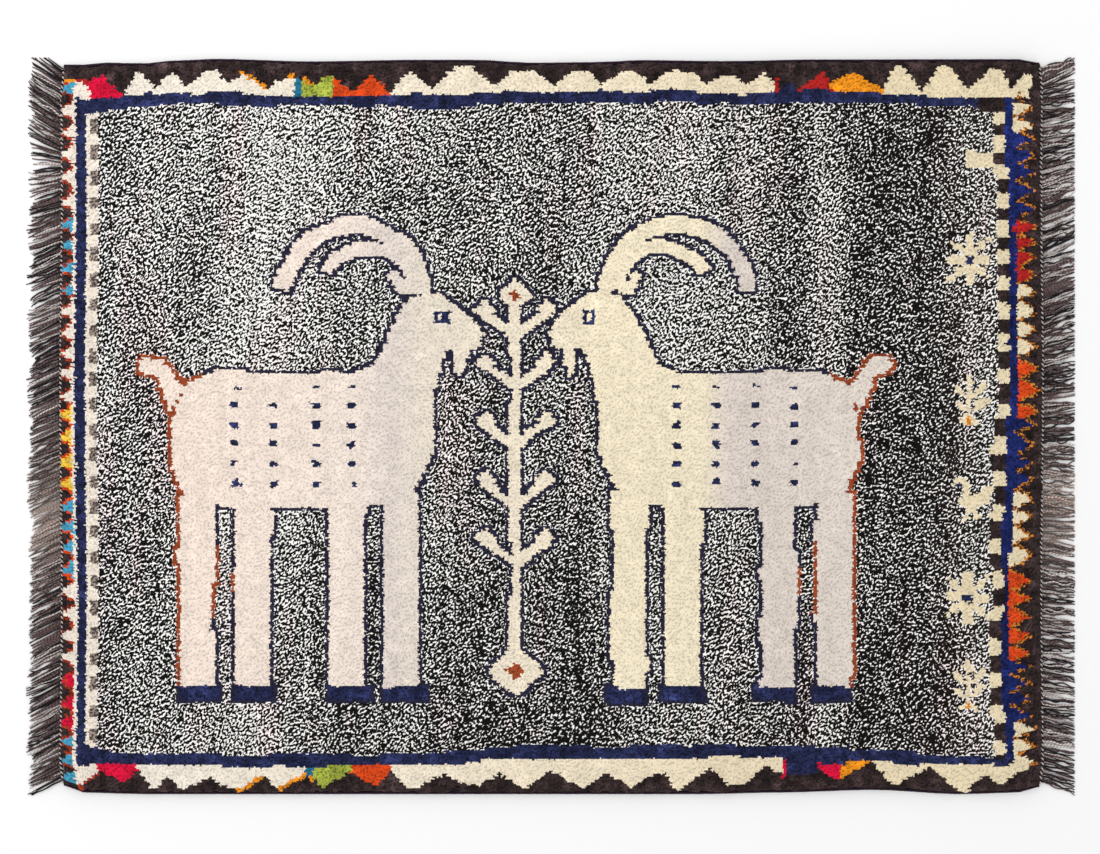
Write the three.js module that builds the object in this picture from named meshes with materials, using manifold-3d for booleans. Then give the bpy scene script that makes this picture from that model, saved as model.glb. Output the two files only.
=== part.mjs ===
import * as THREE from 'three';
import { mergeVertices } from 'three/addons/utils/BufferGeometryUtils.js';
import Module from 'manifold-3d';

// A hand-knotted wool pile rug that lies flat on the floor. X runs along the
// rug, from one fringed end to the other, Y runs across it and Z is up.
// The pile body, the overcast selvedge of each long side and the fringe of
// each end are separate solids. All sizes are in millimetres.

const wasm = await Module();
wasm.setup();

// Driving dimensions
const PILE_LENGTH = 1497;
const SEAM_GAP = 0.3;
const SELVEDGE_RADIUS = 2.9;
const PILE_TOP = 15.4;
const HEADING_WIDTH = 5.4;
const HEADING_HEIGHT = 4.4;
const FRINGE_REACH = 49;
const STRANDS_PER_END = 140;
const STRAND_WIDTH = 5;
const STRAND_HEIGHT = 3.2;
const CORNER_CUT = 4;

// How finely the solids are divided
const BODY_COLUMNS = 46;
const BODY_ROWS = 34;
const HEADING_STEPS = 40;

// The rug's long edges, as uneven as the real ones: the distance from the
// middle line to the outside of the selvedge, at places along the rug.
const FAR_EDGE = [
  { along: -752, out: 549 },
  { along: -720, out: 555 },
  { along: -669, out: 559 },
  { along: -634, out: 556 },
  { along: -587, out: 561 },
  { along: -513, out: 564 },
  { along: -371, out: 560 },
  { along: -200, out: 562.5 },
  { along: -117, out: 562.5 },
  { along: -30, out: 558 },
  { along: 74, out: 559 },
  { along: 134, out: 562 },
  { along: 270, out: 560.5 },
  { along: 403, out: 563 },
  { along: 744, out: 563.5 },
  { along: 752, out: 561.5 },
];
const NEAR_EDGE = [
  { along: -752, out: 555 },
  { along: -734, out: 558 },
  { along: -712, out: 562 },
  { along: -614, out: 564 },
  { along: 227, out: 564 },
  { along: 350, out: 561.5 },
  { along: 495, out: 557.5 },
  { along: 625, out: 564 },
  { along: 737, out: 561 },
  { along: 752, out: 557 },
];

// The body's side, from the floor up: how far the pile stands out beyond the
// edge of the woven foundation, and how high that place is.
const SIDE_PROFILE = [
  { out: 0, up: 0 },
  { out: 0, up: 3.2 },
  { out: 1.8, up: 8.6 },
  { out: 0.9, up: 12.6 },
];
const RIM = { out: -3, up: 14.6 };

// How the pile rises and falls over the body: soft swells of hand-cut pile.
const SWELLS = [
  { lengthAlong: 310, lengthAcross: 260, height: 0.35, phase: 0.4 },
  { lengthAlong: 170, lengthAcross: 205, height: 0.3, phase: 2.1 },
  { lengthAlong: 96, lengthAcross: 118, height: 0.28, phase: 4.4 },
];

// Which way the fringe is combed, at places across the rug: how far a strand
// moves towards +Y for each unit that it reaches out from the end.
const LEFT_COMB = [
  { across: -565, lean: -0.12 },
  { across: -520, lean: -0.45 },
  { across: -440, lean: -0.6 },
  { across: -200, lean: -0.5 },
  { across: 100, lean: -0.48 },
  { across: 330, lean: -0.42 },
  { across: 395, lean: -0.12 },
  { across: 440, lean: 0.36 },
  { across: 500, lean: 0.5 },
  { across: 550, lean: 0.3 },
  { across: 565, lean: 0.12 },
];
const RIGHT_COMB = [
  { across: -565, lean: -0.1 },
  { across: -540, lean: -0.36 },
  { across: -480, lean: -0.16 },
  { across: -150, lean: -0.1 },
  { across: -30, lean: 0.02 },
  { across: 60, lean: 0.22 },
  { across: 150, lean: 0.38 },
  { across: 270, lean: 0.44 },
  { across: 380, lean: 0.32 },
  { across: 480, lean: 0.12 },
  { across: 530, lean: 0.22 },
  { across: 565, lean: 0.04 },
];

// A strand from its root, which reaches into the heading, to its tip: the
// share of its reach, its width, its height and how far it may stray sideways.
const ROOT_DEPTH = 2.4;
const STRAND_STATIONS = [
  { share: 0, width: 1, height: 1, stray: 0 },
  { share: 0.5, width: 0.92, height: 0.95, stray: 0.35 },
  { share: 1, width: 0.5, height: 0.6, stray: 0.6 },
];

// The value of a column of a table at a place along its first column, eased
// smoothly from row to row.
function readTable(table, placeKey, valueKey, place) {
  if (place <= table[0][placeKey]) return table[0][valueKey];
  for (let i = 1; i < table.length; i += 1) {
    const before = table[i - 1];
    const after = table[i];
    if (place <= after[placeKey]) {
      const t = (place - before[placeKey]) / (after[placeKey] - before[placeKey]);
      return THREE.MathUtils.lerp(before[valueKey], after[valueKey], THREE.MathUtils.smoothstep(t, 0, 1));
    }
  }
  return table[table.length - 1][valueKey];
}

const farEdge = (along) => readTable(FAR_EDGE, 'along', 'out', along);
const nearEdge = (along) => -readTable(NEAR_EDGE, 'along', 'out', along);

// The ends aren't quite straight either: half the pile's length, at a place across.
function halfLength(across) {
  const WAVER = 1.3;
  const WAVER_LENGTH = 640;
  return PILE_LENGTH / 2 + WAVER * Math.sin((across / WAVER_LENGTH) * 2 * Math.PI + 1);
}

// A steady scatter from -1 to 1 for each whole number and kind.
function scatter(index, kind) {
  const wave = Math.sin(index * 12.9898 + kind * 78.233) * 43758.5453;
  return (wave - Math.floor(wave)) * 2 - 1;
}

function geometryOf(points, triangles) {
  const geometry = new THREE.BufferGeometry();
  geometry.setAttribute('position', new THREE.Float32BufferAttribute(points.flat(), 3));
  geometry.setIndex(triangles.flat());
  return geometry;
}

// A closed solid through rings of equal length, each a list of [x, y, z] that
// turns anticlockwise as seen by someone looking back along the rings.
function solidThroughRings(rings) {
  const count = rings[0].length;
  const triangles = [];
  for (let r = 0; r + 1 < rings.length; r += 1) {
    for (let k = 0; k < count; k += 1) {
      const a = r * count + k;
      const b = r * count + ((k + 1) % count);
      triangles.push([a, b, b + count], [a, b + count, a + count]);
    }
  }
  const last = (rings.length - 1) * count;
  for (let k = 1; k + 1 < count; k += 1) {
    triangles.push([0, k + 1, k], [last, last + k, last + k + 1]);
  }
  return geometryOf(rings.flat(), triangles);
}

// Pile body: one flat slab with a gently uneven top, sides that bulge where
// the pile spreads over the edge of the foundation, and a flat underside.
function swellAt(x, y) {
  let height = 0;
  for (const swell of SWELLS) {
    const along = Math.sin((x / swell.lengthAlong) * 2 * Math.PI + swell.phase);
    const across = Math.cos((y / swell.lengthAcross) * 2 * Math.PI + swell.phase);
    height += swell.height * along * across;
  }
  return height;
}

// The plan position of a place on the body, with u and v from 0 to 1 along
// and across it, on an outline that stands out from the foundation's edge.
function bodyPlan(u, v, out) {
  const roughAcross = (v - 0.5) * (farEdge(0) - nearEdge(0));
  const inset = 2 * SELVEDGE_RADIUS + SEAM_GAP - out;
  const x = (2 * u - 1) * (halfLength(roughAcross) + out);
  const far = farEdge(x) - inset;
  const near = nearEdge(x) + inset;
  return [x, THREE.MathUtils.lerp(near, far, v)];
}

function bodyRing(out, up) {
  const ring = [];
  const corner = (x, y) => [x - Math.sign(x) * CORNER_CUT, y - Math.sign(y) * CORNER_CUT, up];
  const place = (i, j) => {
    const [x, y] = bodyPlan(i / BODY_COLUMNS, j / BODY_ROWS, out);
    const isCorner = i % BODY_COLUMNS === 0 && j % BODY_ROWS === 0;
    return isCorner ? corner(x, y) : [x, y, up];
  };
  for (let i = 0; i < BODY_COLUMNS; i += 1) ring.push(place(i, 0));
  for (let j = 0; j < BODY_ROWS; j += 1) ring.push(place(BODY_COLUMNS, j));
  for (let i = BODY_COLUMNS; i > 0; i -= 1) ring.push(place(i, BODY_ROWS));
  for (let j = BODY_ROWS; j > 0; j -= 1) ring.push(place(0, j));
  return ring;
}

function bodyGeometry() {
  const rings = SIDE_PROFILE.map((row) => bodyRing(row.out, row.up));
  rings.push(bodyRing(RIM.out, RIM.up));
  const count = rings[0].length;
  const points = rings.flat();
  const triangles = [];
  for (let r = 0; r + 1 < rings.length; r += 1) {
    for (let k = 0; k < count; k += 1) {
      const a = r * count + k;
      const b = r * count + ((k + 1) % count);
      triangles.push([a, b, b + count], [a, b + count, a + count]);
    }
  }

  const footprint = rings[0].map(([x, y]) => new THREE.Vector2(x, y));
  for (const [a, b, c] of THREE.ShapeUtils.triangulateShape(footprint, [])) {
    triangles.push([a, c, b]);
  }

  // The top is a grid whose outermost points are those of the last ring.
  const rimStart = (rings.length - 1) * count;
  const topIndex = (i, j) => {
    if (j === 0) return rimStart + i;
    if (i === BODY_COLUMNS) return rimStart + BODY_COLUMNS + j;
    if (j === BODY_ROWS) return rimStart + BODY_COLUMNS + BODY_ROWS + (BODY_COLUMNS - i);
    if (i === 0) return rimStart + 2 * BODY_COLUMNS + BODY_ROWS + (BODY_ROWS - j);
    return rings.length * count + (j - 1) * (BODY_COLUMNS - 1) + (i - 1);
  };
  for (let j = 1; j < BODY_ROWS; j += 1) {
    for (let i = 1; i < BODY_COLUMNS; i += 1) {
      const [x, y] = bodyPlan(i / BODY_COLUMNS, j / BODY_ROWS, RIM.out);
      points.push([x, y, PILE_TOP + swellAt(x, y)]);
    }
  }
  for (let j = 0; j < BODY_ROWS; j += 1) {
    for (let i = 0; i < BODY_COLUMNS; i += 1) {
      const a = topIndex(i, j);
      const b = topIndex(i + 1, j);
      const c = topIndex(i + 1, j + 1);
      const d = topIndex(i, j + 1);
      triangles.push([a, b, c], [a, c, d]);
    }
  }
  return geometryOf(points, triangles);
}

// Selvedge: a cord of wool, wrapped round the outermost warps, that swells
// and narrows a little from one bundle of wraps to the next. It runs beside
// the body's foot, with two bundles for each column of the body.
function selvedgeGeometry(side) {
  const SIDES = 6;
  const BUNDLE = 0.12;
  const TOUCHES_FLOOR = 1e-6;
  const v = side > 0 ? 1 : 0;
  const steps = 2 * BODY_COLUMNS;
  const rings = [];
  for (let s = 0; s <= steps; s += 1) {
    const before = bodyPlan(Math.floor(s / 2) / BODY_COLUMNS, v, 0);
    const after = bodyPlan(Math.ceil(s / 2) / BODY_COLUMNS, v, 0);
    let x = (before[0] + after[0]) / 2;
    if (s === 0) x += CORNER_CUT;
    if (s === steps) x -= CORNER_CUT;
    const y = (before[1] + after[1]) / 2 + side * (SEAM_GAP + SELVEDGE_RADIUS);
    const girth = s % 2 === 0 ? 1 : 1 - BUNDLE;
    const ring = [];
    for (let k = 0; k < SIDES; k += 1) {
      const angle = ((k + 0.5) / SIDES) * 2 * Math.PI;
      const across = Math.sin(angle) * SELVEDGE_RADIUS * girth;
      const flatFoot = Math.cos(Math.PI / SIDES);
      const up = (flatFoot + Math.cos(angle) * girth) * SELVEDGE_RADIUS;
      const lowest = Math.cos(angle) < -flatFoot + TOUCHES_FLOOR;
      ring.push([x, y - across, lowest ? 0 : up]);
    }
    rings.push(ring);
  }
  return solidThroughRings(rings);
}

// Fringe: a narrow twined heading beside the pile's end, with strands that
// leave it side by side and lie on the floor, all joined at the heading.
function headingGeometry(side) {
  const near = nearEdge(side * halfLength(0));
  const far = farEdge(side * halfLength(0));
  const SHOULDER = 1.2;
  const section = [
    { out: 0, up: 0 },
    { out: HEADING_WIDTH, up: 0 },
    { out: HEADING_WIDTH, up: HEADING_HEIGHT - SHOULDER },
    { out: HEADING_WIDTH - SHOULDER, up: HEADING_HEIGHT },
    { out: SHOULDER, up: HEADING_HEIGHT },
    { out: 0, up: HEADING_HEIGHT - SHOULDER },
  ];
  const ordered = side > 0 ? section.slice().reverse() : section;
  const rings = [];
  for (let s = 0; s <= HEADING_STEPS; s += 1) {
    const y = THREE.MathUtils.lerp(near, far, s / HEADING_STEPS);
    const foot = halfLength(y) + SEAM_GAP;
    rings.push(ordered.map((corner) => [side * (foot + corner.out), y, corner.up]));
  }
  return solidThroughRings(rings);
}

function strandGeometry(side, index, comb) {
  const EDGE_MARGIN = 0.2;
  const REACH_SCATTER = 0.05;
  const EASE = 0.2;
  const SKEW = 0.8;
  const near = nearEdge(side * halfLength(0));
  const far = farEdge(side * halfLength(0));
  const margin = STRAND_WIDTH / 2 + EDGE_MARGIN;
  const share = index / (STRANDS_PER_END - 1);
  const rootY = THREE.MathUtils.lerp(near + margin, far - margin, share);
  const rootX = halfLength(rootY) + SEAM_GAP + HEADING_WIDTH;
  const lean = readTable(comb, 'across', 'lean', rootY);
  const reach = FRINGE_REACH * (1 + REACH_SCATTER * scatter(index, side));
  const rings = STRAND_STATIONS.map((station) => {
    const run = station.share === 0 ? -ROOT_DEPTH : reach * station.share;
    const bend = station.stray * scatter(index, side * 3 + station.share);
    const y = rootY + lean * reach * station.share * (1 - EASE * (1 - station.share)) + bend;
    const half = (STRAND_WIDTH / 2) * station.width;
    const top = STRAND_HEIGHT * station.height;
    const x = side * (rootX + run);
    const skew = side * half * lean * SKEW;
    return [[x + skew, y - half, 0], [x, y, top], [x - skew, y + half, 0]];
  });
  if (side > 0) rings.forEach((ring) => ring.reverse());
  return solidThroughRings(rings);
}

function toManifold(geometry) {
  const merged = mergeVertices(geometry, 1e-4);
  const mesh = new wasm.Mesh({
    numProp: 3,
    vertProperties: new Float32Array(merged.attributes.position.array),
    triVerts: new Uint32Array(merged.index.array),
  });
  return new wasm.Manifold(mesh);
}

function fromManifold(solid) {
  const mesh = solid.getMesh();
  const geometry = new THREE.BufferGeometry();
  geometry.setAttribute('position', new THREE.BufferAttribute(new Float32Array(mesh.vertProperties), 3));
  geometry.setIndex(new THREE.BufferAttribute(new Uint32Array(mesh.triVerts), 1));
  return geometry;
}

function fringeGeometry(side, comb) {
  let fringe = toManifold(headingGeometry(side));
  for (let index = 0; index < STRANDS_PER_END; index += 1) {
    fringe = fringe.add(toManifold(strandGeometry(side, index, comb)));
  }
  return fromManifold(fringe);
}

// Finishes: one colour for each piece, as seen from a few steps away.
const speckledWool = new THREE.MeshStandardMaterial({ color: 0x8b8784, roughness: 0.95, metalness: 0 });
const overcastWool = new THREE.MeshStandardMaterial({ color: 0x33242f, roughness: 0.9, metalness: 0 });
const fringeWool = new THREE.MeshStandardMaterial({ color: 0x75696a, roughness: 0.9, metalness: 0 });

function piece(name, geometry, material) {
  const mesh = new THREE.Mesh(geometry, material);
  mesh.name = name;
  return mesh;
}

const rug = new THREE.Group();
rug.add(piece('pile_body', bodyGeometry(), speckledWool));
rug.add(piece('selvedge_far', selvedgeGeometry(1), overcastWool));
rug.add(piece('selvedge_near', selvedgeGeometry(-1), overcastWool));
rug.add(piece('fringe_left', fringeGeometry(-1, LEFT_COMB), fringeWool));
rug.add(piece('fringe_right', fringeGeometry(1, RIGHT_COMB), fringeWool));

// The origin is under the middle of the rug's own box, on the floor.
const box = new THREE.Box3().setFromObject(rug);
const middle = box.getCenter(new THREE.Vector3());
rug.position.set(-middle.x, -middle.y, 0);

export default rug;
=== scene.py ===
import math
from collections import namedtuple

import bpy
import numpy as np
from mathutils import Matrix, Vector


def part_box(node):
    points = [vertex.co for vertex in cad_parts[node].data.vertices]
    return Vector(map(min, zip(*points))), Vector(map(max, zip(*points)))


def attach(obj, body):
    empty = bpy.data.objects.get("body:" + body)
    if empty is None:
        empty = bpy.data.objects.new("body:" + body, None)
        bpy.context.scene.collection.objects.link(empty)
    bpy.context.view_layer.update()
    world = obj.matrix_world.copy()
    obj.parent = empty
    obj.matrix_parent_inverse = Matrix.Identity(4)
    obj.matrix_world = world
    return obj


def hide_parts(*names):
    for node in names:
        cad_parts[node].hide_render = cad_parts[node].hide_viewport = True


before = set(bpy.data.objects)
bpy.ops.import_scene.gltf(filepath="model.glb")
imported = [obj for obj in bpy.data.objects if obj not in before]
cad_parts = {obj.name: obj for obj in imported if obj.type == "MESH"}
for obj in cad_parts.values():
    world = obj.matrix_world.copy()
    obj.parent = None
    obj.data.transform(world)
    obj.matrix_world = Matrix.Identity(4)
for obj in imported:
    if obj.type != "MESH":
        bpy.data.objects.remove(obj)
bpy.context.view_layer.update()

bl_info = {
    "name": "Gabbeh rug",
    "version": (1, 0, 0),
    "blender": (4, 5, 0),
    "location": "3D View > Sidebar > Rug",
    "description": "Dresses the frame of a flat pile rug with its knots, pattern, selvedges and fringe",
    "category": "Add Mesh",
}

# The rug lies flat: X runs along it from end to end, Y across it and Z is up.
# Lengths in the tables and in the numpy code are millimetres from the middle
# of the pile, with X to the right and Y to the far side. Meshes are in metres.
MM = 0.001
# Stands in for zero where something is divided by it
TINY = 1e-9
# The highest value of an everyday colour
FULL = 255
# The start of each series of random draws
SEEDS = {
    "tufts": 7, "face": 8, "cells": 9, "waver_along": 31, "waver_across": 32, "plies": 51, "swells": 52,
    "ripples": 53, "ragged_rim": 54, "light_share": 61, "knots": 71, "batches": 72, "tint": 73,
    "left_fringe": 101, "right_fringe": 102, "selvedges": 120,
}

PILE_LOW, PILE_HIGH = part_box("pile_body")
PILE_MIDDLE = np.array([(PILE_LOW.x + PILE_HIGH.x) / 2, (PILE_LOW.y + PILE_HIGH.y) / 2, 0.0])
PILE_LONG = PILE_HIGH.x - PILE_LOW.x
PILE_WIDE = PILE_HIGH.y - PILE_LOW.y

# The yarns that the knots are tied with. Their places in this list are the
# numbers in the knot chart.
YARNS = (
    "field", "cream", "navy", "dark_brown", "crimson", "deep_red", "orange_red", "orange",
    "yellow", "light_blue", "green", "teal", "gold_brown", "rust", "grey_brown", "outline",
    "royal_blue", "brick",
)
YARN = {name: number for number, name in enumerate(YARNS)}

# How unevenly each yarn took its dye: the spread of brightness from knot to knot.
DYE_SPREAD = {
    "cream": 0.05, "navy": 0.4, "royal_blue": 0.4, "dark_brown": 0.45, "field": 0.05, "grey_brown": 0.2,
    "green": 0.2, "brick": 0.3,
}
USUAL_SPREAD = 0.12

# How dark the darker hairs of each yarn are beside its own colour, and how
# much of its face shows its own colour and not the darker hairs.
DARK_HAIR = {
    "cream": 0.74, "navy": 0.35, "royal_blue": 0.4, "dark_brown": 0.36, "grey_brown": 0.2, "gold_brown": 0.12,
    "outline": 0.5, "green": 0.45, "brick": 0.35,
}
USUAL_DARK_HAIR = 0.55
OWN_SHARE = {"grey_brown": 0.5, "gold_brown": 0.5}
USUAL_OWN_SHARE = 0.66

# Rows of the tables
Place = namedtuple("Place", "along out")
Tooth = namedtuple(
    "Tooth", "yarn peak_along peak_out tip valley_along valley_out edging", defaults=(None,))
Run = namedtuple("Run", "yarn count first last edging", defaults=(None,))
Horn = namedtuple("Horn", "foot radius half_width first last")
Patch = namedtuple("Patch", "yarn left right near far")
Profile = namedtuple("Profile", "depth tooth edging")
Shade = namedtuple("Shade", "along red green blue")
Marl = namedtuple("Marl", "along light_share streaks dark_red dark_green dark_blue")
Zone = namedtuple("Zone", "along across reach_along reach_across change")
Comb = namedtuple("Comb", "across lean")
Figure = namedtuple("Figure", "motif along across")
Corner = namedtuple("Corner", "forward up")
Side = namedtuple("Side", "out up")
Crowd = namedtuple("Crowd", "column far near")
LongSide = namedtuple("LongSide", "teeth start band_outer band_inner band_end")
End = namedtuple("End", "teeth base apex profile")
Wool = namedtuple("Wool", "name fibres contrast bump hairiness hairs", defaults=(0.5, 1100.0))

# The finishes: fibres in a metre and their contrast, the height of the bump,
# how rough the line is between two plies and between a yarn and its painted twist shade, and the stray hairs
# in a metre.
PILE_WOOL = Wool("Knotted wool", 700.0, 0.5, 0.8, 2.6, 420.0)
BACK_WOOL = Wool("Backs of the knots", 420.0, 0.5, 0.6)
SELVEDGE_WOOL = Wool("Overcasting wool", 1200.0, 0.4, 0.3)
WARP_WOOL = Wool("Plied warp yarn", 1500.0, 0.4, 0.25)

# The toothed border along the far side, from left to right: each tooth's
# peak, half the width of its flat tip, and the valley on its right.
FAR_TEETH = (
    Tooth("crimson", -688, 539, 0, -657, 504),
    Tooth("cream", -633, 543, 2, -605, 516),
    Tooth("cream", -584, 542, 2, -559, 519),
    Tooth("cream", -521, 544, 8, -493, 524),
    Tooth("cream", -472, 537, 2, -435, 513, "orange"),
    Tooth("cream", -403, 534, 6, -395, 530, "orange"),
    Tooth("teal", -390, 531, 3, -385, 529),
    Tooth("green", -382, 529, 1, -364, 519, "orange"),
    Tooth("green", -342, 534, 5, -334, 532),
    Tooth("orange_red", -331, 532, 2, -305, 516),
    Tooth("orange_red", -276, 537, 2, -248, 513),
    Tooth("cream", -218, 543, 3, -183, 516),
    Tooth("cream", -135, 551, 9, -91, 520),
    Tooth("cream", -45, 544, 15, 4, 521),
    Tooth("cream", 44, 544, 12, 75, 518),
    Tooth("cream", 120, 548, 3, 151, 524),
    Tooth("cream", 200, 546, 15, 236, 526),
    Tooth("cream", 264, 539, 5, 298, 523),
    Tooth("cream", 334, 541, 8, 341, 530),
    Tooth("deep_red", 343, 525, 2, 346, 515),
    Tooth("navy", 360, 516, 12, 373, 516),
    Tooth("deep_red", 413, 542, 2, 429, 525),
    Tooth("orange", 461, 543, 5, 508, 514),
    Tooth("cream", 533, 553, 3, 565, 512),
    Tooth("cream", 600, 550, 6, 639, 514),
    Tooth("cream", 679, 545, 9, 705, 518),
    Tooth("cream", 726, 538, 3, 733, 529),
)
FAR_TEETH_START = Place(-710, 524)

# The same along the near side, measured outwards from the middle.
NEAR_TEETH = (
    Tooth("cream", -724, 550, 2, -692, 526, "brick"),
    Tooth("crimson", -652, 545, 3, -633, 526),
    Tooth("cream", -608, 553, 3, -587, 535),
    Tooth("cream", -562, 554, 5, -519, 536),
    Tooth("cream", -483, 556, 8, -442, 531, "orange"),
    Tooth("cream", -420, 549, 3, -379, 531, "orange"),
    Tooth("teal", -373, 536, 6, -366, 535, "orange"),
    Tooth("green", -351, 552, 3, -309, 530),
    Tooth("orange_red", -268, 550, 3, -247, 528),
    Tooth("cream", -212, 554, 5, -165, 533),
    Tooth("cream", -119, 550, 5, -80, 530),
    Tooth("cream", -43, 555, 3, -1, 529),
    Tooth("cream", 48, 552, 3, 87, 528),
    Tooth("cream", 121, 552, 3, 170, 526),
    Tooth("cream", 195, 553, 3, 241, 521),
    Tooth("cream", 283, 549, 9, 331, 517),
    Tooth("cream", 348, 530, 3, 352, 530),
    Tooth("crimson", 356, 538, 3, 359, 536),
    Tooth("navy", 380, 514, 12, 405, 518),
    Tooth("crimson", 441, 541, 3, 443, 539),
    Tooth("orange", 446, 533, 3, 489, 511),
    Tooth("cream", 526, 545, 5, 576, 519),
    Tooth("cream", 629, 560, 3, 664, 532),
    Tooth("cream", 687, 549, 5, 711, 532),
    Tooth("cream", 726, 529, 6, 738, 519),
)
NEAR_TEETH_START = Place(-731, 530)

# The navy band inside the teeth of each long side: its outer and inner edge.
FAR_BAND_OUTER = (
    Place(-728, 504), Place(-657, 504), Place(-607, 508), Place(-507, 510), Place(-394, 504),
    Place(-249, 509), Place(-10, 511), Place(105, 513), Place(184, 516), Place(288, 510),
    Place(388, 516), Place(507, 509), Place(610, 505), Place(705, 505),
)
FAR_BAND_INNER = (
    Place(-712, 478), Place(-669, 486), Place(-532, 493), Place(-461, 488), Place(-385, 492),
    Place(-262, 492), Place(-189, 487), Place(-93, 493), Place(181, 496), Place(694, 492),
)
NEAR_BAND_OUTER = (
    Place(-723, 517), Place(-556, 517), Place(-484, 521), Place(-249, 521), Place(-155, 519),
    Place(-105, 508), Place(154, 510), Place(311, 505), Place(388, 515), Place(441, 515),
    Place(492, 510), Place(573, 515), Place(703, 519),
)
NEAR_BAND_INNER = (
    Place(-709, 487), Place(-666, 496), Place(-460, 503), Place(-385, 500), Place(-287, 504),
    Place(-166, 499), Place(-129, 491), Place(-2, 488), Place(365, 487), Place(533, 495),
    Place(613, 502), Place(686, 509),
)
FAR_BAND_END = 652
NEAR_BAND_END = 706
FAR_BORDER = LongSide(FAR_TEETH, FAR_TEETH_START, FAR_BAND_OUTER, FAR_BAND_INNER, FAR_BAND_END)
NEAR_BORDER = LongSide(NEAR_TEETH, NEAR_TEETH_START, NEAR_BAND_OUTER, NEAR_BAND_INNER, NEAR_BAND_END)

# The teeth of the two ends, from the far side to the near side: runs of one
# yarn, with the places across the rug of the first and the last of each.
LEFT_TEETH = (
    Run("light_blue", 1, 518, 518, "brick"),
    Run("cream", 5, 484, 347, "brick"),
    Run("light_blue", 4, 310, 210, "brick"),
    Run("cream", 5, 178, 47, "brick"),
    Run("yellow", 4, 18, -88, "orange_red"),
    Run("light_blue", 4, -122, -221, "orange_red"),
    Run("cream", 4, -253, -354, "brick"),
    Run("crimson", 3, -389, -454, "brick"),
    Run("light_blue", 3, -484, -538, "brick"),
)
RIGHT_TEETH = (
    Run("cream", 2, 490, 461, "gold_brown"),
    Run("royal_blue", 5, 441, 337, "gold_brown"),
    Run("deep_red", 4, 307, 233, "gold_brown"),
    Run("cream", 4, 206, 122, "gold_brown"),
    Run("orange_red", 3, 88, 22, "gold_brown"),
    Run("royal_blue", 4, 2, -80, "gold_brown"),
    Run("cream", 4, -109, -198, "gold_brown"),
    Run("orange_red", 5, -236, -347, "gold_brown"),
    Run("royal_blue", 4, -368, -441, "gold_brown"),
    Run("cream", 3, -463, -515, "gold_brown"),
)
LEFT_TEETH_BASE = -730.5
LEFT_TEETH_APEX = -750
RIGHT_TEETH_BASE = 706
RIGHT_TEETH_APEX = 731
# How much of its room a tooth fills at depths from 0 at its base to 1 at its
# apex: the tooth alone, and the tooth with the edging yarn round it.
LEFT_PROFILE = (
    Profile(0, 0.7, 1.0), Profile(0.15, 0.62, 0.92), Profile(0.46, 0.42, 0.68), Profile(0.77, 0.2, 0.42),
    Profile(1, 0.1, 0.3),
)
RIGHT_PROFILE = (
    Profile(0, 1.0, 1.15), Profile(0.6, 0.55, 0.8), Profile(1, 0.2, 0.42), Profile(1.25, -0.1, 0.14),
)

LEFT_END = End(LEFT_TEETH, LEFT_TEETH_BASE, LEFT_TEETH_APEX, LEFT_PROFILE)
RIGHT_END = End(RIGHT_TEETH, RIGHT_TEETH_BASE, RIGHT_TEETH_APEX, RIGHT_PROFILE)

# The narrow guards: cream blocks on the right, grey-brown dashes on the left.
LEFT_BAND = (-724.5, -712.6)
LEFT_GUARD_END = -694.6
# Knot columns that the left-hand band crowds to the left, so that the cream
# strip beside it stays narrow: how far, in columns, in the far and near part.
LEFT_CROWDING = (Crowd(2, 0.2, 0.0), Crowd(3, 0.6, 0.2), Crowd(4, 0.9, 0.3))
CROWDING_CHANGE = (-265, -66)
RIGHT_GUARD_WIDTH = 18
RIGHT_CHECKS = (Run("cream", 8, 477, 174), Run("cream", 13, 128, -493))
CHECK_HALF = 11.5
# The right-hand band's inner and outer edge: places across, and how far along
RIGHT_BAND_INNER = (
    Place(500, 694), Place(419, 696), Place(343, 698), Place(305, 700), Place(129, 697),
    Place(36, 700), Place(-10, 692), Place(-112, 691), Place(-194, 690), Place(-265, 692),
    Place(-350, 686), Place(-396, 688), Place(-472, 693),
)
RIGHT_BAND_OUTER = (
    Place(500, 705), Place(419, 710), Place(129, 709), Place(36, 712), Place(-10, 706),
    Place(-112, 704), Place(-194, 703), Place(-265, 701), Place(-396, 699), Place(-472, 706),
)
# How far the bands of the two ends reach across, and the cream strip outside the left one
LEFT_BAND_REACH = (-512, 504)
RIGHT_BAND_REACH = (-516, 507)
LEFT_STRIP_HALF = 525
LEFT_DASHES = (Run("grey_brown", 25, 458, -472),)
DASH_HALF = 10
DASH_INSET = 6

# Odd knots at the corners of the borders, and one lone block in the field.
PATCHES = (
    Patch("cream", -729, -709, 503, 524),
    Patch("cream", -731, -724.5, 470, 505),
    Patch("deep_red", -729, -712, 524, 529),
    Patch("orange", -750, -729, 523, 530),
    Patch("dark_brown", 652, 692, 486, 507),
    Patch("gold_brown", 714, 722, 504, 513),
    Patch("cream", 633, 675, 397, 420),
    Patch("navy", 350, 372, 505, 528),
    Patch("navy", 362, 404, -532, -505),
)

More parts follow.
